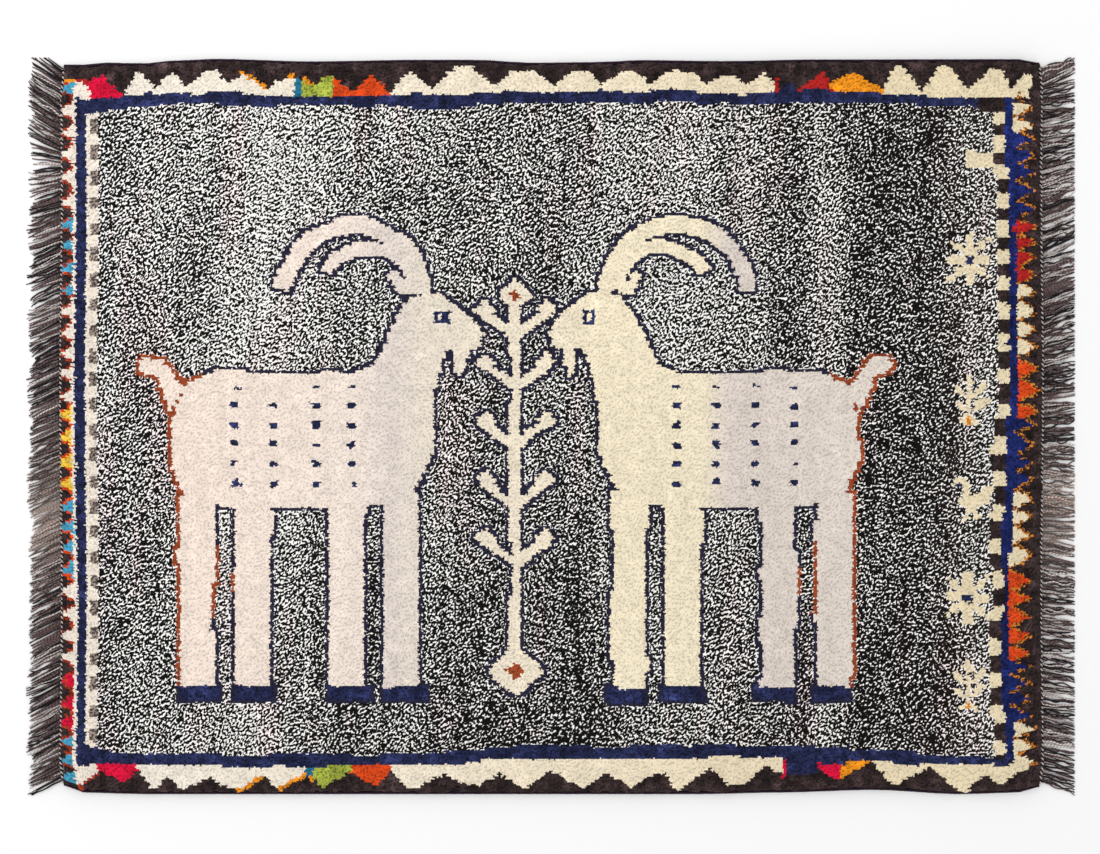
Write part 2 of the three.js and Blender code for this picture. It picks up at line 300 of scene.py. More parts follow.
# The marled field: how much of the yarn's face is its light ply, how much
# that changes from row to row, and the colour of its dark ply.
FIELD_MARL = (
    Marl(-695, 0.40, 0.02, 10, 8, 9),
    Marl(-560, 0.41, 0.02, 11, 8, 9),
    Marl(-470, 0.50, 0.02, 12, 10, 10),
    Marl(-400, 0.475, 0.03, 12, 9, 10),
    Marl(-330, 0.405, 0.03, 12, 10, 10),
    Marl(-250, 0.40, 0.03, 11, 9, 9),
    Marl(-100, 0.38, 0.02, 11, 9, 9),
    Marl(60, 0.355, 0.03, 10, 8, 8),
    Marl(200, 0.43, 0.02, 12, 9, 9),
    Marl(300, 0.395, 0.02, 13, 9, 9),
    Marl(330, 0.365, 0.02, 13, 9, 9),
    Marl(352, 0.295, 0.02, 11, 7, 7),
    Marl(385, 0.31, 0.02, 11, 7, 7),
    Marl(412, 0.40, 0.02, 18, 12, 11),
    Marl(440, 0.375, 0.02, 16, 10, 10),
    Marl(459, 0.265, 0.02, 10, 6, 6),
    Marl(530, 0.275, 0.02, 11, 7, 7),
    Marl(600, 0.26, 0.02, 20, 12, 12),
    Marl(622, 0.31, 0.02, 24, 17, 15),
    Marl(645, 0.375, 0.02, 27, 20, 17),
    Marl(680, 0.385, 0.02, 27, 20, 17),
)
# Softly bounded places where the field is lighter or darker than its column.
FIELD_ZONES = (
    Zone(-100, -430, 220, 300, -0.05),
    Zone(-300, -430, 700, 330, -0.05),
    Zone(520, -430, 120, 200, 0.02),
)

# The cream yarn changes from batch to batch along the rug: how strong its red,
# green and blue are beside the plain cream, in the figures and in the borders.
FIGURE_SHADES = (
    Shade(-600, 1.04, 0.98, 1.04),
    Shade(-300, 1.02, 0.99, 1.07),
    Shade(-250, 0.88, 0.87, 0.98),
    Shade(-190, 0.94, 0.94, 0.97),
    Shade(0, 1.02, 1.01, 0.96),
    Shade(60, 1.04, 1.03, 0.93),
    Shade(230, 1.03, 1.02, 0.93),
    Shade(270, 0.84, 0.83, 0.92),
    Shade(500, 0.90, 0.90, 0.98),
)
BORDER_SHADES = (
    Shade(-750, 0.98, 0.97, 1.02),
    Shade(-600, 1.00, 1.02, 1.08),
    Shade(0, 1.01, 0.99, 0.92),
    Shade(450, 0.96, 0.91, 0.76),
    Shade(750, 0.93, 0.89, 0.74),
)

# Which way the loose warp ends are combed, across each end: how far an end
# moves to the far side for each unit that it reaches outwards.
LEFT_COMB = (
    Comb(-565, -0.5), Comb(-520, -0.58), Comb(-440, -0.62), Comb(-200, -0.55), Comb(100, -0.5),
    Comb(330, -0.45), Comb(395, -0.1), Comb(420, 0.4), Comb(445, 0.8), Comb(510, 0.9),
    Comb(565, 1.2),
)
RIGHT_COMB = (
    Comb(-565, -0.1), Comb(-540, -0.36), Comb(-480, -0.16), Comb(-150, -0.1), Comb(-30, 0.02),
    Comb(60, 0.22), Comb(150, 0.38), Comb(270, 0.44), Comb(380, 0.32), Comb(480, 0.12),
    Comb(505, 0.14), Comb(525, 0.5), Comb(545, 0.4), Comb(565, 0.3),
)

# The two goats and the tree between them: where they stand, and the goat's
# shape, measured forwards and upwards from the middle of its trunk.
FIGURES_ACROSS = -62
TREE_ALONG = -55
GOAT_AWAY = 310
GOAT_TRUNK = (
    Corner(-215, 70), Corner(-196, 128), Corner(-150, 148), Corner(60, 142), Corner(92, 158),
    Corner(128, 232), Corner(150, 262), Corner(196, 266), Corner(238, 236), Corner(262, 206),
    Corner(252, 182), Corner(204, 180), Corner(186, 120), Corner(182, 20), Corner(150, -48),
    Corner(60, -62), Corner(-130, -62), Corner(-196, -40), Corner(-218, 10),
)
GOAT_TAIL = (
    Corner(-196, 120), Corner(-232, 168), Corner(-262, 172), Corner(-266, 150), Corner(-240, 140),
    Corner(-218, 84),
)
GOAT_EAR = (Corner(132, 262), Corner(112, 292), Corner(126, 300), Corner(156, 268))
GOAT_BEARD = (Corner(214, 184), Corner(240, 184), Corner(228, 138), Corner(216, 144))
# Its horns are parts of rings round a foot at its brow, between two angles in degrees.
GOAT_BROW = GOAT_TRUNK[6]
GOAT_HORNS = (Horn(62, 108, 13, 2, 176), Horn(84, 74, 10, 6, 150))
GOAT_LEGS = (-178, -92, 52, 136)
GOAT_HIP = -40
GOAT_ANKLE = -336
GOAT_SOLE = -358
GOAT_EYE = Corner(196, 228)
GOAT_DOT_COLUMNS = (-118, -58, 2, 62)
TREE_BRANCHES = (-150, -60, 30, 120, 200)

# Small motifs beside the right-hand border, charted: one character
# is one small square of knots, cream, or blue or orange where a letter says so.
MOTIF_SQUARE = 6.5
MOTIF_YARNS = {"#": YARN["cream"], "b": YARN["navy"], "o": YARN["orange"]}
STAR = (
    "....##....",
    "#...##...#",
    ".##.##.##.",
    ".########.",
    "...####...",
    "####bb####",
    "####bb####",
    "...####...",
    ".########.",
    ".##.##.##.",
    "#...##...#",
    "....##....",
)
SHRUB = (
    "....#.....",
    "...###..#.",
    ".#..#..##.",
    ".##.#.##..",
    "..#####...",
    "....#..##.",
    ".##.#.##..",
    "..#####...",
    "....#.....",
    "...#o#....",
    "..##o##...",
)
BIRD = (
    "..##......",
    ".#b##.....",
    "...##...##",
    "...##..##.",
    "...######.",
    "..#######.",
    "...#####..",
    "....###...",
    "....#.#...",
    "...##.##..",
)
FIGURES = (
    Figure(STAR, 640, 256),
    Figure(SHRUB, 642, 40),
    Figure(BIRD, 640, -112),
    Figure(STAR, 636, -262),
    Figure(SHRUB, 640, -398),
)


def dye(label, red, green, blue):
    """A colour setting, from everyday values of 0 to 255."""
    return bpy.props.FloatVectorProperty(
        name=label, description=f"Colour of the {label.lower()}", subtype="COLOR_GAMMA",
        size=3, min=0.0, max=1.0, default=(red / FULL, green / FULL, blue / FULL))


def linear(colour):
    """Scene-linear values of a colour whose values are display-coded fractions."""
    STRAIGHT_END = 0.04045
    STRAIGHT_SLOPE = 12.92
    OFFSET = 0.055
    POWER = 2.4
    coded = np.asarray(colour, dtype=float)
    curve = ((coded + OFFSET) / (1 + OFFSET)) ** POWER
    return np.where(coded <= STRAIGHT_END, coded / STRAIGHT_SLOPE, curve)


class RugSizes(bpy.types.PropertyGroup):
    """The sizes that a user may change"""

    knot_along: bpy.props.FloatProperty(
        name="Knot along", description="Pitch of the knot rows along the rug",
        default=6.0 * MM, min=4.0 * MM, max=12.0 * MM, unit="LENGTH")
    knot_across: bpy.props.FloatProperty(
        name="Knot across", description="Pitch of the knots across the rug",
        default=4.5 * MM, min=3.0 * MM, max=9.0 * MM, unit="LENGTH")
    ply_pitch: bpy.props.FloatProperty(
        name="Speckle pitch", description="Distance between neighbouring light strokes of the marled field",
        default=5.4 * MM, min=4.0 * MM, max=12.0 * MM, unit="LENGTH")
    tuft_relief: bpy.props.FloatProperty(
        name="Tuft relief", description="How far a tuft's crown stands above the creases round it",
        default=1.1 * MM, min=0.0, max=3.0 * MM, unit="LENGTH")
    stroke_relief: bpy.props.FloatProperty(
        name="Stroke relief", description="How far the light strokes of the field stand above the dark ones",
        default=0.8 * MM, min=0.0, max=3.0 * MM, unit="LENGTH")
    foundation: bpy.props.FloatProperty(
        name="Foundation", description="Thickness of the woven foundation under the pile",
        default=3.2 * MM, min=1.0 * MM, max=6.0 * MM, unit="LENGTH")
    selvedge_wrap: bpy.props.FloatProperty(
        name="Selvedge wrap", description="Width of one turn of the overcasting yarn",
        default=3.2 * MM, min=2.0 * MM, max=8.0 * MM, unit="LENGTH")
    twining_pitch: bpy.props.FloatProperty(
        name="Twining pitch", description="Length of a full turn of the two twined yarns at each end",
        default=7.2 * MM, min=5.0 * MM, max=20.0 * MM, unit="LENGTH")
    warp_ends: bpy.props.IntProperty(
        name="Warp ends", description="Number of loose warp ends in each fringe",
        default=600, min=50, max=700)
    warp_width: bpy.props.FloatProperty(
        name="Warp width", description="Thickness of one loose warp end",
        default=2.6 * MM, min=1.0 * MM, max=5.0 * MM, unit="LENGTH")


class RugColours(bpy.types.PropertyGroup):
    """The colours of the yarns, of the foundation and of the floor"""

    field: dye("Light ply of the field", 248, 246, 242)
    cream: dye("Cream wool", 247, 235, 215)
    navy: dye("Navy wool", 38, 44, 82)
    dark_brown: dye("Dark brown wool", 54, 41, 41)
    crimson: dye("Crimson wool", 224, 18, 62)
    deep_red: dye("Madder red wool", 182, 36, 34)
    orange_red: dye("Orange red wool", 226, 76, 26)
    orange: dye("Orange wool", 246, 152, 30)
    yellow: dye("Yellow wool", 250, 206, 72)
    light_blue: dye("Light blue wool", 74, 164, 198)
    green: dye("Lime green wool", 172, 184, 72)
    teal: dye("Teal wool", 38, 116, 148)
    gold_brown: dye("Gold brown wool", 206, 128, 48)
    rust: dye("Rust wool", 158, 72, 38)
    grey_brown: dye("Grey brown wool", 160, 144, 134)
    outline: dye("Outline wool", 40, 38, 60)
    royal_blue: dye("Royal blue wool", 28, 40, 102)
    brick: dye("Brick red wool", 178, 62, 34)
    foundation: dye("Foundation wool", 86, 74, 70)
    selvedge: dye("Selvedge wool", 46, 28, 44)
    # Dark warp: the twined row's dark yarn, and the fringe's dark warps, which partly stand for painted shade
    # between strands
    dark_warp_and_shade: dye("Dark warp", 32, 27, 30)
    warp_grey: dye("Grey brown warp", 118, 97, 96)
    warp_light: dye("Light warp", 226, 215, 210)
    warp_faded: dye("Faded warp", 208, 185, 174)
    floor: dye("Floor", 252, 252, 252)


# Small tools for arrays and meshes

def pairs(table, name):
    """A table's first column beside the one of this name."""
    return [(row[0], getattr(row, name)) for row in table]


def read(table, place):
    """A table's second column at places along its first, in straight steps."""
    rows = sorted((row[0], row[1]) for row in table)
    return np.interp(place, [row[0] for row in rows], [row[1] for row in rows])


def noise_waves(shape, seed):
    """The waves that make up seeded noise of this shape."""
    return np.fft.fft2(np.random.default_rng(seed).standard_normal(shape))


def wave_numbers(shape, step):
    """How many times each of those waves repeats in a millimetre along and across."""
    return np.meshgrid(np.fft.fftfreq(shape[0], step[0]), np.fft.fftfreq(shape[1], step[1]), indexing="ij")


def read_colour(table, names, place):
    """Three columns of a table at places along its first, as one colour a place."""
    return np.stack([read(pairs(table, name), place) for name in names], axis=-1)


def cloud(shape, step, size, seed):
    """Seeded smooth noise with a spread of one: its step and size are along and across."""
    noise = noise_waves(shape, seed)
    along, across = wave_numbers(shape, step)
    keep = np.exp(-2 * math.pi ** 2 * ((along * size[0]) ** 2 + (across * size[1]) ** 2))
    smooth = np.fft.ifft2(noise * keep).real
    return (smooth - smooth.mean()) / smooth.std()


def strokes(shape, step, pitch, seed):
    """Seeded noise of short parallel strokes, whose direction changes from place to place."""
    DIRECTIONS = (-58, -30, -8, 28)
    PITCH_SPREAD = 0.8
    FAN = 0.95
    DOMAIN = 11
    DOMAIN_CONTRAST = 1.2
    DOMAIN_SEED = 10
    TANGLE = 0.7
    noise = noise_waves(shape, seed)
    along, across = wave_numbers(shape, step)
    ring = np.exp(-((np.hypot(along, across) * pitch - 1) / PITCH_SPREAD) ** 2)
    heading = np.arctan2(across, along)
    total = np.zeros(shape)
    weight_square = np.zeros(shape)
    for number, direction in enumerate(DIRECTIONS):
        lobe = np.exp(-(np.cos(heading - math.radians(direction)) / FAN) ** 2)
        layer = np.fft.ifft2(noise * ring * lobe).real
        domains = cloud(shape, step, (DOMAIN, DOMAIN), seed + DOMAIN_SEED + number)
        weight = np.exp(DOMAIN_CONTRAST * domains)
        total += weight * layer / layer.std()
        weight_square += weight ** 2
    tangle = np.fft.ifft2(noise_waves(shape, seed + 1) * ring).real
    return total / np.sqrt(weight_square) + TANGLE * tangle / tangle.std()


def mesh_object(name, points, quads):
    """A smooth mesh object from points in millimetres from the pile's middle and four-cornered faces."""
    mesh = bpy.data.meshes.new(name)
    mesh.vertices.add(len(points))
    mesh.vertices.foreach_set("co", (points * MM + PILE_MIDDLE).astype(np.float32).ravel())
    mesh.loops.add(quads.size)
    mesh.loops.foreach_set("vertex_index", quads.astype(np.int32).ravel())
    mesh.polygons.add(len(quads))
    mesh.polygons.foreach_set("loop_start", np.arange(0, quads.size, quads.shape[1], dtype=np.int32))
    mesh.polygons.foreach_set("use_smooth", np.full(len(quads), True))
    mesh.update(calc_edges=True)
    piece = bpy.data.objects.new(name, mesh)
    bpy.context.scene.collection.objects.link(piece)
    return piece


def paint(piece, name, kind, domain, values):
    """Stores one value a point, face or corner under a name that the material reads."""
    attribute = piece.data.attributes.new(name, kind, domain)
    if kind == "FLOAT_COLOR":
        full = np.ones((len(values), 4), dtype=np.float32)
        full[:, :3] = values
        attribute.data.foreach_set("color", full.ravel())
    else:
        attribute.data.foreach_set("value", values.astype(np.float32).ravel())


def unfold(piece, corners):
    """Gives a piece its flat layout for baking: one pair of values a face corner."""
    layer = piece.data.uv_layers.new(name="OFBake")
    layer.uv.foreach_set("vector", corners.astype(np.float32).ravel())


def join_to_rug(piece, slot, material, *nodes):
    """Puts a piece in place of CAD solids: it rides on the rug and takes a finish."""
    piece.data.materials.append(material)
    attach(piece, "root")
    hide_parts(*nodes)


# The knot chart

def tooth_line(teeth, start):
    """The outline of a row of teeth, as places along the rug and distances out."""
    LEAST_TIP = 0.01
    line = [tuple(start)]
    for tooth in teeth:
        line.append((tooth.peak_along - tooth.tip, tooth.peak_out))
        line.append((tooth.peak_along + tooth.tip + LEAST_TIP, tooth.peak_out))
        line.append((tooth.valley_along, tooth.valley_out))
    return line


def weave_long_border(chart, along, out, inside, border):
    """Charts the teeth and the navy band of one long side; out is the distance from the rug's middle."""
    EDGING = 6
    edge = read(tooth_line(border.teeth, border.start), along)
    band_outer = read(border.band_outer, along)
    band_inner = read(border.band_inner, along)
    chart[inside & (out > band_inner)] = YARN["dark_brown"]
    left = border.start.along
    for tooth in border.teeth:
        span = inside & (along >= left) & (along < tooth.valley_along) & (out > band_inner)
        chart[span & (out <= edge)] = YARN[tooth.yarn]
        if tooth.edging:
            slope = span & (along > tooth.peak_along) & (out > edge) & (out <= edge + EDGING)
            chart[slope] = YARN[tooth.edging]
        left = tooth.valley_along
    band = inside & (along >= LEFT_BAND[0]) & (along < border.band_end)
    chart[band & (out > band_inner) & (out <= band_outer)] = YARN["navy"]


def run_places(runs):
    """The places across the rug of all that the runs count."""
    return np.concatenate([np.linspace(run.first, run.last, run.count) for run in runs])


def near_any(across, places, reach):
    """True within reach of any of the places."""
    return np.abs(across[..., None] - places).min(axis=-1) < reach


def weave_end_teeth(chart, along, across, end):
    """Charts the teeth of one end, which point outwards from its base to its apex."""
    WIDEST = 36
    BEYOND_LAST = 9
    BEYOND_APEX = 0.1
    centres = run_places(end.teeth)
    counts = [run.count for run in end.teeth]
    yarns = np.repeat([YARN[run.yarn] for run in end.teeth], counts)
    edgings = np.repeat([YARN[run.edging] for run in end.teeth], counts)
    nearest = np.abs(across[..., None] - centres).argmin(axis=-1)
    gap = np.abs(np.gradient(centres))
    half = np.minimum(gap[nearest], WIDEST) / 2
    offset = np.abs(across - centres[nearest]) / half
    depth = (along - end.base) / (end.apex - end.base)
    zone = (depth >= 0) & (depth <= end.profile[-1].depth + BEYOND_APEX)
    zone &= (across < centres[0] + BEYOND_LAST) & (across > centres[-1] - BEYOND_LAST)
    edged = zone & (offset <= read(pairs(end.profile, "edging"), depth))
    chart[edged] = edgings[nearest][edged]
    tooth = zone & (offset <= read(pairs(end.profile, "tooth"), depth))
    chart[tooth] = yarns[nearest][tooth]


def weave_ends(chart, along, across):
    """Charts both ends: teeth, blue band and narrow guard."""
    long_far = read(FAR_BAND_INNER, along)
    long_near = -read(NEAR_BAND_INNER, along)
    right_inner = read(RIGHT_BAND_INNER, across)
    right_outer = read(RIGHT_BAND_OUTER, across)
    between = (across < long_far) & (across > long_near)

    chart[along < LEFT_BAND[0]] = YARN["dark_brown"]
    weave_end_teeth(chart, along, across, LEFT_END)
    strip = (along >= LEFT_TEETH_BASE) & (along < LEFT_BAND[0])
    chart[strip & (np.abs(across) < LEFT_STRIP_HALF)] = YARN["cream"]
    guard = between & (along >= LEFT_BAND[1]) & (along < LEFT_GUARD_END)
    chart[guard] = YARN["cream"]
    dashes = near_any(across, run_places(LEFT_DASHES), DASH_HALF) & (along > LEFT_BAND[1] + DASH_INSET)
    chart[guard & dashes] = YARN[LEFT_DASHES[0].yarn]
    band = (along >= LEFT_BAND[0]) & (along < LEFT_BAND[1])
    chart[band & (across < LEFT_BAND_REACH[1]) & (across > LEFT_BAND_REACH[0])] = YARN["navy"]

    guard = between & (along >= right_inner - RIGHT_GUARD_WIDTH)
    chart[guard] = YARN["dark_brown"]
    checks = near_any(across, run_places(RIGHT_CHECKS), CHECK_HALF) & (along < right_inner)
    chart[guard & checks] = YARN[RIGHT_CHECKS[0].yarn]
    chart[along >= right_outer] = YARN["dark_brown"]
    weave_end_teeth(chart, along - right_outer + RIGHT_TEETH_BASE, across, RIGHT_END)
    band = (along >= right_inner) & (along < right_outer)
    chart[band & (across < RIGHT_BAND_REACH[1]) & (across > RIGHT_BAND_REACH[0])] = YARN["royal_blue"]


def inside_shape(along, across, corners):
    """True inside a closed shape with straight sides."""
    inside = np.zeros(along.shape, dtype=bool)
    last = corners[-1]
    for corner in corners:
        crosses = (corner.up > across) != (last.up > across)
        rise = last.up - corner.up or TINY
        meet = corner.forward + (across - corner.up) * (last.forward - corner.forward) / rise
        inside ^= crosses & (along < meet)
        last = corner
    return inside


def grown(mask):
    """A mask with all its neighbours, the diagonal ones too."""
    wide = mask.copy()
    wide[1:] |= mask[:-1]
    wide[:-1] |= mask[1:]
    full = wide.copy()
    full[:, 1:] |= wide[:, :-1]
    full[:, :-1] |= wide[:, 1:]
    return full


def inside_horn(forward, up, horn):
    """True inside one of the goat's horns."""
    away = np.hypot(forward - horn.foot, up - GOAT_BROW.up)
    turn = np.degrees(np.arctan2(up - GOAT_BROW.up, forward - horn.foot))
    return (np.abs(away - horn.radius) < horn.half_width) & (turn > horn.first) & (turn < horn.last)


def block(along, across, middle, half_long, half_wide):
    """True inside an upright block round a middle."""
    return (np.abs(along - middle[0]) < half_long) & (np.abs(across - middle[1]) < half_wide)


def goat(forward, up):
    """The cream shape of a standing horned goat that faces forward, its navy marks and its hooves."""
    LEG_HALF = 27
    HOOF_HALF = 31
    HOOF_FORWARD = 4
    EYE = (12, 11)
    PUPIL = (4, 5)
    DOT_HALF = 6
    DOT_HEIGHT = 9
    DOT_PITCH = 30
    DOTS_LOW = -30
    DOTS_HIGH = 124
    shape = inside_shape(forward, up, GOAT_TRUNK)
    for corners in (GOAT_TAIL, GOAT_EAR, GOAT_BEARD):
        shape |= inside_shape(forward, up, corners)
    for horn in GOAT_HORNS:
        shape |= inside_horn(forward, up, horn)
    hooves = np.zeros(forward.shape, dtype=bool)
    for middle in GOAT_LEGS:
        shape |= (np.abs(forward - middle) < LEG_HALF) & (up < GOAT_HIP) & (up > GOAT_ANKLE)
        hoof = np.abs(forward - middle - HOOF_FORWARD) < HOOF_HALF
        hooves |= hoof & (up <= GOAT_ANKLE) & (up > GOAT_SOLE)
    marks = block(forward, up, GOAT_EYE, *EYE) & ~block(forward, up, GOAT_EYE, *PUPIL)
    for column in GOAT_DOT_COLUMNS:
        dots = (np.abs(forward - column) < DOT_HALF) & (up > DOTS_LOW) & (up < DOTS_HIGH)
        marks |= dots & (np.mod(up - DOTS_LOW, DOT_PITCH) < DOT_HEIGHT)
    return shape, marks, hooves


def tree(along, up):
    """The shape of a small tree with upswept branches, and the marks on its two ends."""
    STEM_HALF = 8
    STEM_LOW = -300
    STEM_HIGH = 250
    BRANCH_SLOPE = 0.8
    BRANCH_HALF = 9
    BRANCH_REACH = 44
    BUD_OUT = 46
    BUD_UP = 40
    BUD_SIZE = 16
    CROWN_UP = 262
    CROWN_SIZE = 26
    CROWN_MARK = 9
    ROOT_UP = -312
    ROOT_SLOPE = 0.9
    ROOT_SIZE = 40
    ROOT_MARK = 14
    out = np.abs(along)
    shape = (out < STEM_HALF) & (up > STEM_LOW) & (up < STEM_HIGH)
    for level in TREE_BRANCHES:
        rise = up - level - out * BRANCH_SLOPE
        shape |= (np.abs(rise) < BRANCH_HALF) & (out < BRANCH_REACH)
        shape |= (np.abs(out - BUD_OUT) + np.abs(up - level - BUD_UP)) < BUD_SIZE
    crown = out + np.abs(up - CROWN_UP)
    root = out * ROOT_SLOPE + np.abs(up - ROOT_UP)
    shape |= (crown < CROWN_SIZE) | (root < ROOT_SIZE)
    return shape, (crown < CROWN_MARK) | (root < ROOT_MARK)


def weave_figures(chart, along, across):
    """Charts the middle of the field: a goat on each side of a small tree."""
    RUST_EDGE = -150
    RUST_WAVE = 30
    RUST_WAVE_LENGTH = 37
    up = across - FIGURES_ACROSS
    figures = np.zeros(chart.shape, dtype=bool)
    for side in (-1, 1):
        forward = (TREE_ALONG + side * GOAT_AWAY - along) * side
        shape, marks, hooves = goat(forward, up)
        outline = grown(shape | hooves) & ~(shape | hooves)
        behind = forward < RUST_EDGE + RUST_WAVE * np.sin(up / RUST_WAVE_LENGTH)
        chart[outline] = YARN["outline"]
        chart[outline & behind & (up > GOAT_ANKLE)] = YARN["rust"]
        chart[shape] = YARN["cream"]
        chart[marks | hooves] = YARN["navy"]
        figures |= shape
    shape, marks = tree(along - TREE_ALONG, up)
    chart[grown(shape) & ~shape] = YARN["outline"]
    chart[shape] = YARN["cream"]
    chart[marks] = YARN["rust"]
    return figures | shape


def weave_small_motifs(chart, along, across):
    """Charts the small motifs beside the right-hand border."""
    for figure in FIGURES:
        rows = len(figure.motif)
        columns = len(figure.motif[0])
        cells = np.array([[MOTIF_YARNS.get(cell, -1) for cell in row] for row in figure.motif])
        column = np.floor((along - figure.along) / MOTIF_SQUARE + columns / 2).astype(int)
        row = np.floor((figure.across - across) / MOTIF_SQUARE + rows / 2).astype(int)
        within = (column >= 0) & (column < columns) & (row >= 0) & (row < rows)
        yarn = cells[row.clip(0, rows - 1), column.clip(0, columns - 1)]
        filled = within & (yarn >= 0)
        chart[filled] = yarn[filled]


def knot_chart(along, across, counted):
    """The yarn number of the knots at these places, and which knots belong to the figures.

    counted is the place along the rug by the count of knots, which the borders of the ends keep to.
    """
    FAR_CORNER = 505
    chart = np.full(along.shape, YARN["field"])
    figures = weave_figures(chart, along, across)
    weave_small_motifs(chart, along, across)
    weave_ends(chart, counted, across)
    inner = along > LEFT_TEETH_BASE
    far = inner & (across > 0) & ((along < FAR_BAND_END) | (across > FAR_CORNER))
    near = inner & (across <= 0) & (along < RIGHT_TEETH_APEX)
    weave_long_border(chart, along, across, far, FAR_BORDER)
    weave_long_border(chart, along, -across, near, NEAR_BORDER)
    for patch in PATCHES:
        spot = (along > patch.left) & (along < patch.right)
        chart[spot & (across > patch.near) & (across < patch.far)] = YARN[patch.yarn]
    return chart, figures


def knot_colours(chart, figures, along, pitch, colours):
    """Each knot's colour, and the colour of the dark ply where the yarn is marled."""
    KNOT_SIZE = (3, 3)
    KNOT_CHANGE = 0.8
    BATCH_SIZE = (4, 60)
    BATCH_CHANGE = 0.35
    TINT_SIZE = (9, 70)
    PINK = 0.024
    PINKEST = 2
    PLY_CHANGE = 0.25
    count = chart.shape
    base = np.array([linear(getattr(colours, name)) for name in YARNS])
    spread = np.array([DYE_SPREAD.get(name, USUAL_SPREAD) for name in YARNS])
    knot_noise = cloud(count, pitch, KNOT_SIZE, SEEDS["knots"])
    batch_noise = cloud(count, pitch, BATCH_SIZE, SEEDS["batches"])
    change = KNOT_CHANGE * knot_noise + BATCH_CHANGE * batch_noise
    light = base[chart] * np.exp(spread[chart] * change)[..., None]

    is_cream = chart == YARN["cream"]
    for places, shades in ((is_cream & figures, FIGURE_SHADES), (is_cream & ~figures, BORDER_SHADES)):
        shade = read_colour(shades, ("red", "green", "blue"), along)
        light = np.where(places[..., None], light * shade, light)

    is_field = chart == YARN["field"]
    pink = PINK * cloud(count, pitch, TINT_SIZE, SEEDS["tint"]).clip(0, PINKEST)
    warm = np.stack([1 + pink, 1 - pink, 1 - 0.5 * pink], axis=-1)
    light = np.where(is_field[..., None], light * warm, light)
    dark_ply = read_colour(FIELD_MARL, ("dark_red", "dark_green", "dark_blue"), along)
    dark_ply = linear(dark_ply / FULL) * np.exp(PLY_CHANGE * knot_noise)[..., None]
    hair = np.array([DARK_HAIR.get(name, USUAL_DARK_HAIR) for name in YARNS])
    dark = np.where(is_field[..., None], dark_ply, light * hair[chart][..., None])
    return light, dark


def light_share(along, across, seed):
    """How much of the field's face is light ply at each place."""
    ROW_SIZE = (3.2, 55)
    PATCH_SIZE = (22, 60)
    PATCH_CHANGE = 0.7
    LEAST = 0.08
    MOST = 0.92
    shape = along.shape
    step = (PILE_LONG / MM / shape[0], PILE_WIDE / MM / shape[1])
    share = read(pairs(FIELD_MARL, "light_share"), along)
    streaks = read(pairs(FIELD_MARL, "streaks"), along)
    for zone in FIELD_ZONES:
        away_along = (along - zone.along) / zone.reach_along
        away_across = (across - zone.across) / zone.reach_across
        share = share + zone.change * np.exp(-(away_along ** 2 + away_across ** 2))
    rows = cloud(shape, step, ROW_SIZE, seed)
    patches = cloud(shape, step, PATCH_SIZE, seed + 1)
    return np.clip(share + streaks * (rows + PATCH_CHANGE * patches), LEAST, MOST)


# Materials

def new_group(name, inputs, outputs):
    """A shader node group with named inputs and outputs, and its two end nodes."""
    group = bpy.data.node_groups.new(name, "ShaderNodeTree")
    for label, kind, default in inputs:
        socket = group.interface.new_socket(label, in_out="INPUT", socket_type=kind)
        socket.default_value = default
    for label, kind in outputs:
        group.interface.new_socket(label, in_out="OUTPUT", socket_type=kind)
    return group, group.nodes.new("NodeGroupInput"), group.nodes.new("NodeGroupOutput")


def math_node(tree, operation, first, second, clamp=False):
    """A Math node; each value is a number or a socket."""
    node = tree.nodes.new("ShaderNodeMath")
    node.operation = operation
    node.use_clamp = clamp
    for socket, value in zip(node.inputs, (first, second)):
        if isinstance(value, (int, float)):
            socket.default_value = value
        else:
            tree.links.new(value, socket)
    return node.outputs[0]


def wool_fibre_group():
    """Fine hair of wool: lightens and darkens a colour and gives a height for the bump."""
    group, start, end = new_group(
        "Wool fibre",
        (("Colour", "NodeSocketColor", (0.8, 0.8, 0.8, 1)), ("Fibres per metre", "NodeSocketFloat", 900.0),
         ("Contrast", "NodeSocketFloat", 0.3)),
        (("Colour", "NodeSocketColor"), ("Height", "NodeSocketFloat")))
    place = group.nodes.new("ShaderNodeTexCoord")
    fine = group.nodes.new("ShaderNodeTexNoise")
    fine.inputs["Detail"].default_value = 3.0
    fine.inputs["Roughness"].default_value = 0.62
    fine.inputs["Distortion"].default_value = 0.8
    group.links.new(place.outputs["Object"], fine.inputs["Vector"])
    group.links.new(start.outputs["Fibres per metre"], fine.inputs["Scale"])
    centred = math_node(group, "SUBTRACT", fine.outputs["Fac"], 0.5)
    swing = math_node(group, "MULTIPLY", centred, start.outputs["Contrast"])
    factor = math_node(group, "ADD", swing, 1.0)
    shade = group.nodes.new("ShaderNodeVectorMath")
    shade.operation = "SCALE"
    group.links.new(start.outputs["Colour"], shade.inputs[0])
    group.links.new(factor, shade.inputs["Scale"])
    group.links.new(shade.outputs[0], end.inputs["Colour"])
    group.links.new(fine.outputs["Fac"], end.inputs["Height"])
    return group


